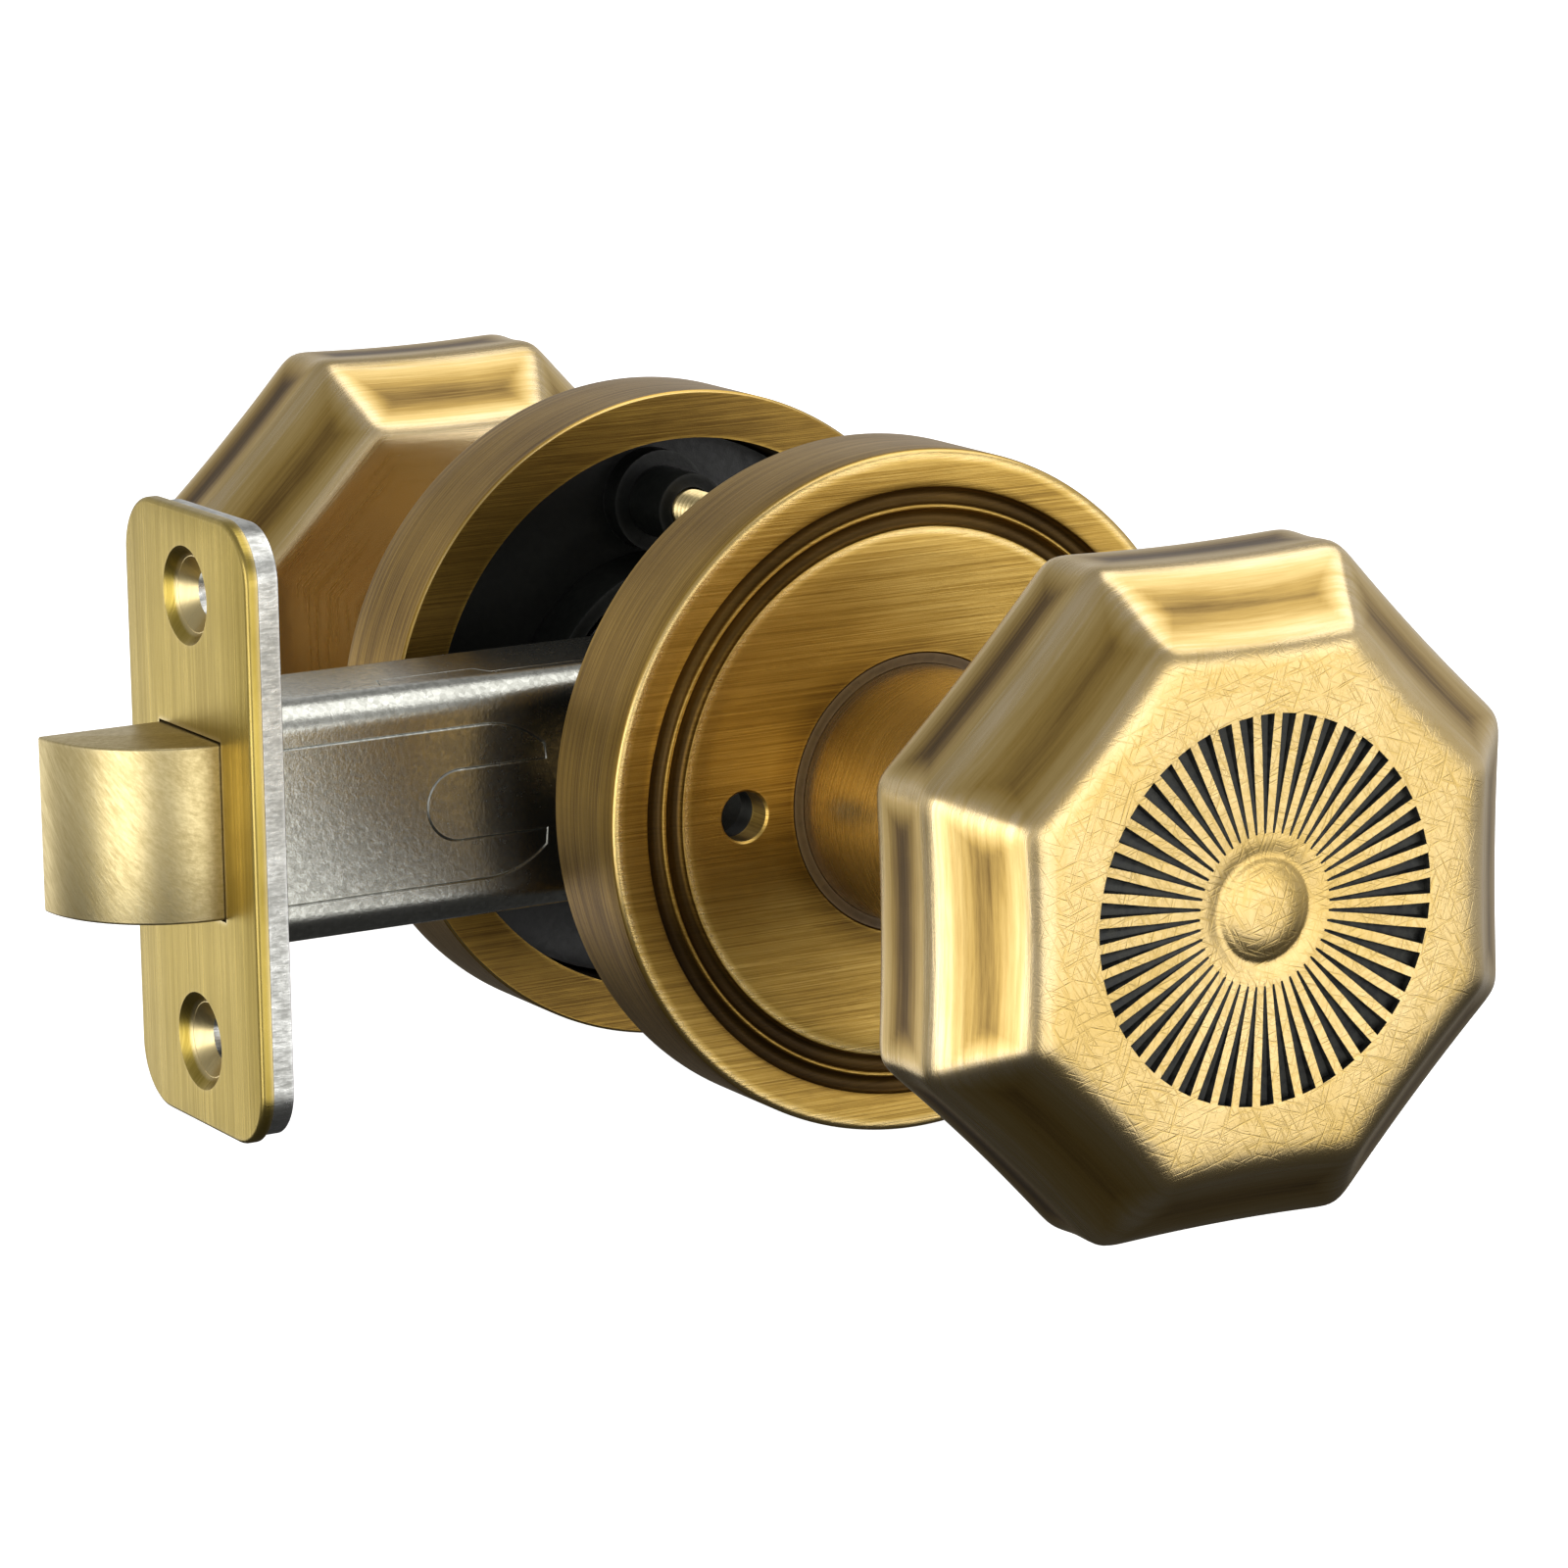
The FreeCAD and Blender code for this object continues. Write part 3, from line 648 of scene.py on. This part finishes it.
def knobDisc(frontPlace):
    # the dished disc with its button, as a closed puck that the rays are cut into
    look = knobLook
    outer, back = look["discRadius"], frontPlace + look["discThickness"]
    proud = look["buttonProud"] + dishAt(0)
    profile = [(1.0 * mm, back), (outer, back), (outer, frontPlace)]
    for radius in (17.2, 16.95, 16.0, 14.5, 13.0, 11.5, 10.0, 8.5, 7.5, 6.7, 6.1):
        profile.append((radius * mm, frontPlace + dishAt(radius * mm)))
    for radius, extra in ((5.6, 0.05), (5.1, 0.13), (4.7, 0.18), (4.4, 0.13), (4.2, 0.0)):  # ring hollow
        profile.append((radius * mm, frontPlace + dishAt(radius * mm) + extra * mm))
    for share in (0.95, 0.88, 0.78, 0.64, 0.45, 0.22):
        rise = proud * (1 - share ** 4) ** 1.3
        profile.append((look["buttonRadius"] * share, frontPlace + dishAt(0) - rise))
    disc = turned("knobDisc", profile, 384)
    disc.data.materials.append(knobBrass)
    cutWith(disc, [rayCutter(frontPlace)], material_mode="TRANSFER")
    openPiece(disc)
    nearWall, deepest = outer - 0.1 * mm, frontPlace + 1.6 * mm  # only the face of the puck is kept
    pick(lambda co, normal: co.y > deepest or math.hypot(co.x, co.z) > nearWall and abs(normal.y) < 0.2,
         kind="FACE")
    bpy.ops.mesh.delete(type="FACE")
    closePiece()
    return disc


def knobNeck(backPlace, neckEnd, ringBox, hubBox):
    outer, groove, socket, bore, boreMiddle = 12.0, 10.8, 9.65, 6.5, 1.0  # radii in mm
    gap = 0.05 * mm
    grooveStart, grooveEnd = ringBox[0].y - gap, ringBox[1].y + gap
    socketEnd = hubBox[0].y - gap
    boreEnd = backPlace - 6 * mm
    profile = [(13.4, backPlace), (12.7, backPlace + 0.1 * mm), (12.2, backPlace + 0.5 * mm),
               (outer, backPlace + 1.2 * mm), (outer, backPlace + 12 * mm), (outer, grooveStart),
               (groove, grooveStart), (groove, grooveEnd), (outer, grooveEnd), (outer, neckEnd - 0.2 * mm),
               (11.8, neckEnd), (socket, neckEnd), (socket, socketEnd), (bore, socketEnd), (bore, boreEnd),
               (boreMiddle, boreEnd)]
    neck = turned("knobNeck", [(radius * mm, place) for radius, place in profile], 384, ends="open")
    openPiece(neck)
    capRing((boreMiddle * mm, boreEnd))
    closePiece()
    return neck


def bridgeFlat(place):
    # closes the flat band between the eight-sided opening and the round one
    bpy.ops.mesh.select_mode(type="EDGE")
    bpy.ops.mesh.select_all(action="DESELECT")
    data = bpy.context.edit_object.data
    mesh = bmesh.from_edit_mesh(data)
    for edge in mesh.edges:
        level = all(abs(vertex.co.y - place) < 2 * tiny for vertex in edge.verts)
        edge.select_set(edge.is_boundary and level)
    bmesh.update_edit_mesh(data)
    bpy.ops.mesh.bridge_edge_loops()


def markWearAndNeckLight(knob, frontPlace, backPlace):
    # "ridge" is 1 on the edges that hands polish, and nearly 1 on the neck, whose bright brass is partly
    # painted light; "polished" is 1 on the front face
    look = knobLook
    ridge = knob.data.attributes.new("ridge", "FLOAT", "POINT")
    polished = knob.data.attributes.new("polished", "FLOAT", "POINT")
    rows = (frontPlace + look["frontBevel"], backPlace - look["backBevel"])
    fadeDepth = 0.9 * mm
    discFlat, faceFlat = look["discRadius"] + 0.2 * mm, look["flatBand"] + 0.3 * mm
    for vertex in knob.data.vertices:
        co = vertex.co
        along, flat = sideway(co)
        face = min(1.0, max(0.0, (frontPlace + fadeDepth - co.y) / fadeDepth))
        corner = flat * math.tan(math.pi / 8) - abs(along)
        onFace = co.y < frontPlace + 0.3 * mm and flat < faceFlat
        onDisc = flat < discFlat and co.y < frontPlace + 2 * mm
        if onFace or onDisc:
            value, face = 0.88, 1.0
        elif co.y < backPlace + 0.2 * mm and flat > discFlat:
            near = min(corner, min(abs(co.y - row) for row in rows) * 1.05,
                       math.hypot(max(0.0, flat - look["frontFlat"]), co.y - frontPlace) * 0.75,
                       math.hypot(max(0.0, flat - look["backFlat"]), co.y - backPlace) * 1.1)
            value = math.exp(-(max(0.0, near) / look["ridgeWidth"]) ** 2)
            onBand = rows[0] < co.y < rows[1]
            value = (0.08 if onBand else 0.20) + (0.86 if onBand else 0.76) * value
        # the neck: nearly full wear, pale polished brass that is also painted light, standing in for the
        # light falling on the neck from the left
        else:
            value = 0.97
        ridge.data[vertex.index].value = value
        polished.data[vertex.index].value = face


def makeKnobs():
    cadLow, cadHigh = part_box("outside_knob")
    frontPlace = cadLow.y + knobLook["buttonProud"]
    backPlace = frontPlace + knobLook["length"]
    shell = knobShell(frontPlace, cadHigh.z, backPlace)
    neck = knobNeck(backPlace, cadHigh.y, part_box("outside_retaining_ring"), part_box("outside_drive_hub"))
    for piece in (shell, neck):
        piece.data.materials.append(knobBrass)
    knob = joinAll([knobDisc(frontPlace), shell, neck])
    knob.name = "outsideKnobBrass"
    openPiece(knob)
    bridgeFlat(frontPlace)
    bridgeFlat(backPlace)
    bpy.ops.mesh.select_all(action="SELECT")
    bpy.ops.mesh.remove_doubles(threshold=tiny)
    bpy.ops.mesh.normals_make_consistent(inside=False)
    closePiece()
    markWearAndNeckLight(knob, frontPlace, backPlace)
    inner = mirrored(knob, "insideKnobBrass")
    for piece, side in ((knob, "outside"), (inner, "inside")):
        finishPiece(piece, "knobs", [side + "_knob"], 38)


print("knobs")
knobBrass = knobBrassMaterial()
rayPatina = rayPatinaMaterial()
makeKnobs()


# Round grooved roses

roseLook = {
    "radius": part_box("outside_rose")[1].z,
    "rimDepth": -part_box("outside_rose")[1].y,
    "faceDepth": -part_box("outside_rose")[0].y,
    "cavityRadius": 27.15 * mm,
    "faceThickness": 2.6 * mm,
    "chamfer": 0.5 * mm,
    "neckHole": 13.0 * mm,
    "grooves": (27.45 * mm, 25.45 * mm),
    "grooveHalfWidth": 0.82 * mm,
    "grooveDepth": 0.8 * mm,
    "edgeRing": 29.5 * mm,      # rings that only keep the flat parts even
    "faceRings": (22 * mm, 18 * mm),
    "releaseHole": 2.3 * mm,
    "screwHole": 3.8 * mm,
    "screwHead": 3.6 * mm,
}


def grooveProfile(look):
    # one groove, a rounded bead and a second groove, from outside in
    points = []
    for number, middle in enumerate(look["grooves"]):
        for step in range(1, 10):
            angle = math.pi * step / 10
            points.append((middle + look["grooveHalfWidth"] * math.cos(angle),
                           look["grooveDepth"] * math.sin(angle) ** 0.8))
        if number == 0:
            between = sum(look["grooves"]) / 2
            for offset, sink in ((0.17, 0.14), (0.08, 0.07), (-0.08, 0.07), (-0.17, 0.14)):
                points.append((between + offset * mm, sink * mm))
    return points


def flaredCutter(radius, middle, look):
    # a hole with a lightly broken edge
    face = -look["faceDepth"]
    return turned("hole", [(radius + 0.35 * mm, face - 0.15 * mm), (radius, face + 0.2 * mm),
                           (radius, -look["rimDepth"] + 1 * mm)], 64, middle)


def makeRose(name, holes):
    look = roseLook
    rim, face = -look["rimDepth"], -look["faceDepth"]
    outer, cavity = look["radius"], look["cavityRadius"]
    lip = look["grooves"][0] + look["grooveHalfWidth"]
    disc = look["grooves"][1] - look["grooveHalfWidth"]
    soft = 0.12 * mm
    back = face + look["faceThickness"]
    profile = [(cavity, rim), (cavity + soft, rim), (look["edgeRing"], rim), (outer - 2 * soft, rim),
               (outer, rim - 2 * soft)]
    for share in (0.25, 0.5, 0.75, 1.0):
        profile.append((outer, rim + (face + look["chamfer"] - rim) * share))
    for angle in (20, 45, 70, 90):  # the rounded front edge
        turn = math.radians(angle)
        profile.append((outer - look["chamfer"] * (1 - math.cos(turn)) * 1.2,
                        face + look["chamfer"] * (1 - math.sin(turn))))
    profile += [(look["edgeRing"] + 0.5 * mm, face), (look["edgeRing"] - 0.5 * mm, face),
                (lip + soft, face), (lip, face + soft * 0.4)]
    profile += [(radius, face + depth) for radius, depth in grooveProfile(look)]
    profile += [(disc, face + soft * 0.4), (disc - soft, face)]
    profile += [(radius, face) for radius in look["faceRings"]]
    profile += [(look["neckHole"] + soft, face), (look["neckHole"], face + soft),
                (look["neckHole"], back), (20 * mm, back), (cavity - 0.5 * mm, back),
                (cavity, back + 0.5 * mm), (cavity, rim)]
    rose = turned(name, profile, 256, ends="closed")
    cutWith(rose, [flaredCutter(radius, middle, look) for radius, middle in holes])
    rose.data.materials.append(roseBrass)
    return rose


def makeRoses():
    look = roseLook
    pinLow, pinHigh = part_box("privacy_pin")
    pinAxis = ((pinLow.x + pinHigh.x) / 2, 0)
    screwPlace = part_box("mounting_screws")[1].z - look["screwHead"]
    collarLow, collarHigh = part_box("privacy_collar")
    collar = (collarHigh.z - collarLow.z) / 2 + 0.05 * mm
    outside = makeRose("outsideRoseBrass", [(look["releaseHole"], pinAxis)])
    finishPiece(outside, "housing", ["outside_rose"], 40)
    holes = [(collar, pinAxis), (look["screwHole"], (0, screwPlace)), (look["screwHole"], (0, -screwPlace))]
    patternRose = makeRose("rosePattern", holes)
    inside = mirrored(patternRose, "insideRoseBrass")
    bpy.data.objects.remove(patternRose)
    finishPiece(inside, "housing", ["inside_rose"], 40)


print("roses")
roseBrass = roseBrassMaterial()
makeRoses()


# Plates at the door's edge, bolt and latch case

plateLook = {
    "corner": 5.5 * mm,
    "frontRound": 0.45 * mm,
    "holeFromEnd": 7.925 * mm,
    "screwHole": 2.2 * mm,
    "dish": 4.35 * mm,
    "dishDepth": 2.4 * mm,
    "dimpleWall": 0.24 * mm,
    "windowGap": 0.2 * mm,
    "boltNose": 12.1 * mm,
    "boltRound": 0.25 * mm,
    "caseCorner": 3.0 * mm,
    "caseWall": 1.0 * mm,
    "camHole": 6.25 * mm,
    "pinHole": 2.2 * mm,
    "seam": 0.16 * mm,         # radius of the pressed lines on the case
}


def makePlate(name, node, corner, frontRound):
    low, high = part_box(node)
    plate = box(name, low, high)
    openPiece(plate)
    pick(lambda co, way: abs(way.x) > 0.9, kind="EDGE")
    bpy.ops.mesh.bevel(offset=corner, segments=14, affect="EDGES")
    if frontRound:
        pick(lambda co, way: abs(co.x - low.x) < tiny and abs(way.x) < 0.1, kind="EDGE")
        bpy.ops.mesh.bevel(offset=frontRound, segments=4, affect="EDGES")
    pick(lambda co, way: abs(co.x - high.x) < tiny and abs(way.x) < 0.1, kind="EDGE")
    bpy.ops.mesh.bevel(offset=0.08 * mm, segments=1, affect="EDGES")
    closePiece()
    return plate


def atScrewHoles(name, profile, ends="capped"):
    # the same turned shape at both of the plate's screw holes
    low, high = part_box("faceplate")
    middle = (high.z - low.z) / 2 - plateLook["holeFromEnd"]
    made = []
    for upright in (middle, -middle):
        piece = turned(name, profile, 96, ends=ends)
        turnToX(piece)
        openPiece(piece)
        moveBy(low.x, 0, upright)
        closePiece()
        made.append(piece)
    return made


def dishCutters(lining=0.0):
    look = plateLook
    dish, hole, depth, over = look["dish"], look["screwHole"], look["dishDepth"], 1 * mm
    slope = (dish - hole) / depth
    profile = [(dish + slope * over, -over), (dish + 0.25 * mm, -0.06 * mm), (dish - 0.1 * mm, 0.25 * mm),
               (hole, depth), (hole, 9 * mm)]
    return atScrewHoles("dish", [(radius + lining, place) for radius, place in profile])


def pressedDimples():
    # the brass sheet goes on down into the dish of the plate behind
    look = plateLook
    dish, hole, depth = look["dish"], look["screwHole"], look["dishDepth"]
    wall, start = look["dimpleWall"], 1 * mm
    rim = dish - (dish - hole) / depth * start
    profile = [(rim, start), ((rim + hole) / 2, (start + depth) / 2), (hole, depth), (hole + wall, depth),
               (rim + wall, start), (rim, start)]
    return atScrewHoles("dimple", profile, ends="closed")


def windowCutter():
    low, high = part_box("latch_bolt")
    front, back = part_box("faceplate")
    gap, over = plateLook["windowGap"], 1 * mm
    return box("window", (front.x - over, low.y - gap, low.z - gap),
               (back.x + over, high.y + gap, high.z + gap))


def makePlates():
    look = plateLook
    cover = makePlate("faceplateBrass", "faceplate", look["corner"], look["frontRound"])
    cutWith(cover, [windowCutter()] + dishCutters())
    cover = joinAll([cover] + pressedDimples())
    finishPiece(cover, "housing", ["faceplate"], 30, [plateBrass])
    backing = makePlate("backingPlateSteel", "backing_plate", look["corner"] - 0.5 * mm, 0)
    low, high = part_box("latch_case")
    grow = 0.05 * mm
    opening = roundedBar("caseOpening", (low.x - 1 * mm, low.y - grow, low.z - grow),
                         (low.x + 9 * mm, high.y + grow, high.z + grow), look["caseCorner"] + grow)
    cutWith(backing, [opening] + dishCutters(look["dimpleWall"] + 0.02 * mm))
    finishPiece(backing, "housing", ["backing_plate"], 30, [shearedSteel])


def roundedBar(name, low, high, corner):
    bar = box(name, low, high)
    openPiece(bar)
    pick(lambda co, way: abs(way.x) > 0.9, kind="EDGE")
    bpy.ops.mesh.bevel(offset=corner, segments=10, affect="EDGES")
    closePiece()
    return bar


def makeBolt():
    look = plateLook
    low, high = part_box("latch_bolt")
    bolt = box("latchBoltBrass", low, high)
    openPiece(bolt)
    pick(lambda co, way: co.x < low.x + tiny and co.y < low.y + tiny and abs(way.z) > 0.9, kind="EDGE")
    bpy.ops.mesh.bevel(offset=look["boltNose"], segments=40, affect="EDGES")
    closePiece()
    applyModifier(bolt, "BEVEL", width=look["boltRound"], segments=3, limit_method="ANGLE",
                  angle_limit=math.radians(40))
    finishPiece(bolt, "bolt", ["latch_bolt"], 35, [boltBrass])


def pressedLine(points):
    # a thin rod along the points, to press a line into the sheet
    curve = bpy.data.curves.new("line", "CURVE")
    curve.dimensions = "3D"
    curve.bevel_depth = plateLook["seam"]
    curve.bevel_resolution = 1
    curve.use_fill_caps = True
    line = curve.splines.new("POLY")
    line.points.add(len(points) - 1)
    for point, place in zip(line.points, points):
        point.co = (*place, 1)
    rod = bpy.data.objects.new("line", curve)
    scene.collection.objects.link(rod)
    makeActive(rod)
    bpy.ops.object.convert(target="MESH")
    return bpy.context.object


def arcPoints(middle, radius, first, last, steps=10):
    return [(middle[0] + radius * math.cos(math.radians(first + (last - first) * step / steps)),
             middle[1] + radius * math.sin(math.radians(first + (last - first) * step / steps)))
            for step in range(steps + 1)]


def makeCase():
    look = plateLook
    low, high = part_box("latch_case")
    case = roundedBar("latchCaseSteel", low, high, look["caseCorner"])
    openPiece(case)
    pick(lambda co, normal: abs(normal.x) > 0.9, kind="FACE")
    bpy.ops.mesh.delete(type="FACE")
    closePiece()
    applyModifier(case, "SOLIDIFY", thickness=look["caseWall"], offset=-1.0)
    side, top = low.y - 0.02 * mm, high.z + 0.02 * mm
    # the lines pressed into the side and the top, in mm from the spindle axis
    tongue = [(-58.0, 7.2), (-34.6, 7.2)] + arcPoints((-34.6, -2.0), 9.2, 90, 47)[1:]
    tongue += [(-28.2, 3.3), (-37.2, 3.3)] + arcPoints((-37.2, 0), 3.3, 90, 180)[1:]
    mirroredHalf = [(x, -z) for x, z in reversed(tongue[:-1])]
    fork = [(x * mm, side, z * mm) for x, z in tongue + mirroredHalf]
    seam = [(-58.0, -4.3), (-43.2, -4.3), (-42.4, -2.2), (-32.6, -2.2), (-31.8, -4.3), (25.0, -4.3)]
    cutters = [pressedLine(fork), pressedLine([(x * mm, y * mm, top) for x, y in seam])]
    pinLow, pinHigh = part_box("privacy_pin")
    cam, pin, reach = look["camHole"], look["pinHole"], 9 * mm
    cutters.append(turned("camHole", [(cam, -reach), (cam, reach)], 64))
    cutters.append(turned("pinHole", [(pin, -reach), (pin, reach)], 48, ((pinLow.x + pinHigh.x) / 2, 0)))
    cutWith(case, cutters)
    finishPiece(case, "housing", ["latch_case"], 30, [caseZinc])


print("latch")
plateBrass = satinBrassMaterial("plateBrass", (60, 5200, 50), (0.31, 0.22, 0.034, 1),
                                (0.54, 0.405, 0.095, 1), 0.30)
boltBrass = satinBrassMaterial("boltBrass", (1500, 4200, 500), (0.50, 0.38, 0.15, 1),
                               (0.88, 0.74, 0.40, 1), 0.36, tilt=0.6)
shearedSteel = platedMaterial("shearedSteel", (0.42, 0.42, 0.39, 1), (0.78, 0.78, 0.74, 1), 0.30, 2400.0,
                              (500, 160, 2200), 0.00006)
caseZinc = platedMaterial("caseZinc", (0.34, 0.34, 0.30, 1), (0.66, 0.66, 0.60, 1), 0.22, 2200.0,
                          depth=0.00004)
makePlates()
makeBolt()
makeCase()


# Clamping screws with real threads

screwLook = {
    "radius": 2.0 * mm,
    "core": 1.62 * mm,         # radius at the roots of the thread
    "pitch": 0.7 * mm,
    "head": roseLook["screwHead"],
    "headSoft": 0.5 * mm,
    "plain": 9.0 * mm,         # length without a thread
    "slotHalfWidth": 0.5 * mm,
    "slotDepth": 1.4 * mm,
}


def makeScrews():
    look = screwLook
    low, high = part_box("mounting_screws")
    middle = high.z - look["head"]
    headStart = high.y - roseLook["faceThickness"] - 0.05 * mm
    threadEnd = headStart - look["plain"]
    turns = int((threadEnd - low.y) / look["pitch"]) - 2
    rows = []
    steps = turns * 2
    for step in range(steps + 1):  # thread crests and roots
        rows.append((look["radius"] if step % 2 else look["core"], low.y + look["pitch"] * (0.6 + step / 2)))
    profile = [(look["core"] * 0.8, low.y), (look["core"], low.y + 0.3 * mm)] + rows
    profile += [(look["radius"], rows[-1][1] + 0.3 * mm), (look["radius"], headStart),
                (look["head"], headStart), (look["head"], high.y - look["headSoft"]),
                (look["head"] - look["headSoft"], high.y)]
    screw = turned("mountingScrewsBrass", profile, 48)
    reach, half = look["head"] * 0.6, look["slotHalfWidth"]
    cutWith(screw, [box("slot", (-x, high.y - look["slotDepth"], -z), (x, high.y + 1 * mm, z))
                    for x, z in ((reach, half), (half, reach))])
    openPiece(screw)
    bpy.ops.mesh.select_all(action="SELECT")
    moveBy(0, 0, middle)
    bpy.ops.mesh.duplicate()
    moveBy(0, 0, -2 * middle)
    closePiece()
    finishPiece(screw, "housing", ["mounting_screws"], 30, [screwBrass])


print("screws")
screwBrass = platedMaterial("screwBrass", (0.36, 0.27, 0.11, 1), (0.66, 0.53, 0.27, 1), 0.30, 3000.0)
makeScrews()


# Finishes on the parts that keep their shape

print("finishes")
blackEnamel = platedMaterial("blackEnamel", (0.0035, 0.004, 0.0035, 1), (0.011, 0.012, 0.010, 1), 0.36,
                             1500.0, depth=0.00005, metallic=0.0)
zincSteel = platedMaterial("zincSteel", (0.40, 0.40, 0.38, 1), (0.66, 0.66, 0.62, 1), 0.26, 2600.0)
zincCasting = platedMaterial("zincCasting", (0.20, 0.20, 0.20, 1), (0.36, 0.36, 0.36, 1), 0.45, 1600.0,
                             depth=0.00008)
springSteel = platedMaterial("springSteel", (0.10, 0.10, 0.11, 1), (0.26, 0.26, 0.27, 1), 0.28, 3200.0,
                             (1400, 1400, 1400))
# the nylon bush is given the dark brown of the shade where the neck enters the rose: its own colour and
# painted shade
bushNylonShadeBrown = platedMaterial("bushNylonShadeBrown", (0.075, 0.045, 0.016, 1), (0.13, 0.080, 0.030, 1), 0.50, 1800.0,
                           metallic=0.0)
buttonBrass = satinBrassMaterial("buttonBrass", (1600, 300, 200), (0.28, 0.18, 0.06, 1),
                                 (0.50, 0.36, 0.14, 1), 0.30)


def makeLatchSpring():
    # the same coil as in the part file, with its own mesh
    node = frame["nodes"]["latch_spring"]
    spring = bpy.data.objects.new("latchSpringWire", node.data.copy())
    scene.collection.objects.link(spring)
    openPiece(spring)
    bpy.ops.mesh.remove_doubles(threshold=tiny)
    closePiece()
    finishPiece(spring, "housing", ["latch_spring"], 40, [springSteel])
    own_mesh(spring)


makeLatchSpring()
finishes = {"antique_brass": buttonBrass, "black_enamel": blackEnamel, "zinc_steel": zincSteel,
            "zinc_casting": zincCasting, "spring_steel": springSteel, "bush_nylon": bushNylonShadeBrown}
for part in frame["record"]["subparts"]:
    piece = frame["nodes"][part["node"]]
    if piece.hide_render:
        continue
    finish = finishes[part["material_slot"]]
    if not piece.material_slots:
        piece.data.materials.append(finish)
    for holder in piece.material_slots:
        holder.material = finish


# Floor, light and camera

studio = {
    "floorLevel": -1.5 * mm,   # below the lowest point of the set
    "floorSize": 6,
    "floorGlow": 1.0,          # lifts the floor to plain white
    "azimuth": -30.4,
    "elevation": 12.29,
    "roll": -0.82,
    "distance": 600 * mm,
    "aside": 1.54 * mm,
    "raised": -4.0 * mm,
    "lens": 144.7,
    "sensorWidth": 36,
    "roomLow": 0.04,           # brightness of the room below, level with and above the set
    "roomLevel": 0.62,
    "roomHigh": 0.34,
}
softboxes = {  # place, aimed at, width, height, power
    "above": ((0.35, -0.18, 0.72), (0, -0.03, 0), 0.70, 0.80, 2.7),
    "left": ((-0.80, -0.42, -0.02), (-0.02, -0.03, 0), 0.56, 0.72, 2.8),
    "front": ((0.22, -0.88, -0.06), (0, -0.03, 0), 0.95, 0.70, 2.8),
    "behind": ((-0.42, 0.80, -0.28), (-0.03, 0, 0), 0.50, 0.45, 0.75),
}


def makeFloor():
    bpy.ops.object.select_all(action="DESELECT")
    bpy.ops.mesh.primitive_plane_add(size=studio["floorSize"],
                                     location=(0, 0, cadBox[0].z + studio["floorLevel"]))
    floor = nameNew("studioFloor")
    openPiece(floor)
    bpy.ops.mesh.subdivide(number_cuts=3)
    closePiece()
    material, tree, surface, where = newMaterial("paleFloor", metallic=0.0, Roughness=0.9)
    mottle = noise(tree, where, 3.0)[0]
    pale = mixColor(tree, mottle, (0.86, 0.86, 0.86, 1), (0.90, 0.90, 0.90, 1))
    tree.links.new(pale, surface["Base Color"])
    surface["Emission Strength"].default_value = studio["floorGlow"]
    seen = tree.nodes.new("ShaderNodeLightPath").outputs["Is Camera Ray"]
    tree.links.new(mixColor(tree, seen, (0, 0, 0, 1), (1, 1, 1, 1)), surface["Emission Color"])
    floor.data.materials.append(material)
    floor.visible_glossy = False  # metal mirrors the room and the softboxes, not the table
    floor.visible_shadow = False


def makeLights():
    world = bpy.data.worlds.new("studioRoom")
    scene.world = world
    world.use_nodes = True
    tree = world.node_tree
    way = tree.nodes.new("ShaderNodeTexCoord").outputs["Generated"]
    upright = addNode(tree, "ShaderNodeSeparateXYZ", {0: way}).outputs[2]
    low = fade(tree, upright, -0.55, 0.0, studio["roomLow"], studio["roomLevel"])
    high = fade(tree, upright, 0.25, 0.7, 0.0, studio["roomLevel"] - studio["roomHigh"])
    tree.links.new(calc(tree, "SUBTRACT", low, high), tree.nodes["Background"].inputs["Color"])
    for name, (place, target, width, height, power) in softboxes.items():
        data = bpy.data.lights.new(name, "AREA")
        data.shape = "RECTANGLE"
        data.size, data.size_y, data.energy = width, height, power
        lamp = bpy.data.objects.new(name, data)
        lamp.location = place
        lamp.rotation_euler = (Vector(target) - Vector(place)).to_track_quat("-Z", "Y").to_euler()
        scene.collection.objects.link(lamp)


def makeCamera():
    turn, lift = math.radians(studio["azimuth"]), math.radians(studio["elevation"])
    back = Vector((math.sin(turn) * math.cos(lift), -math.cos(turn) * math.cos(lift), math.sin(lift)))
    right = Vector((math.cos(turn), math.sin(turn), 0))
    up = back.cross(right)
    data = bpy.data.cameras.new("studioCamera")
    data.lens, data.sensor_width = studio["lens"], studio["sensorWidth"]
    data.clip_start, data.clip_end = 0.01, 20
    camera = bpy.data.objects.new("studioCamera", data)
    camera.location = right * studio["aside"] + up * studio["raised"] + back * studio["distance"]
    camera.rotation_euler = (-back).to_track_quat("-Z", "Y").to_euler()
    camera.rotation_euler.rotate_axis("Z", math.radians(studio["roll"]))
    scene.collection.objects.link(camera)
    scene.camera = camera


print("studio")
makeFloor()
makeLights()
makeCamera()
scene.view_settings.view_transform = "Standard"
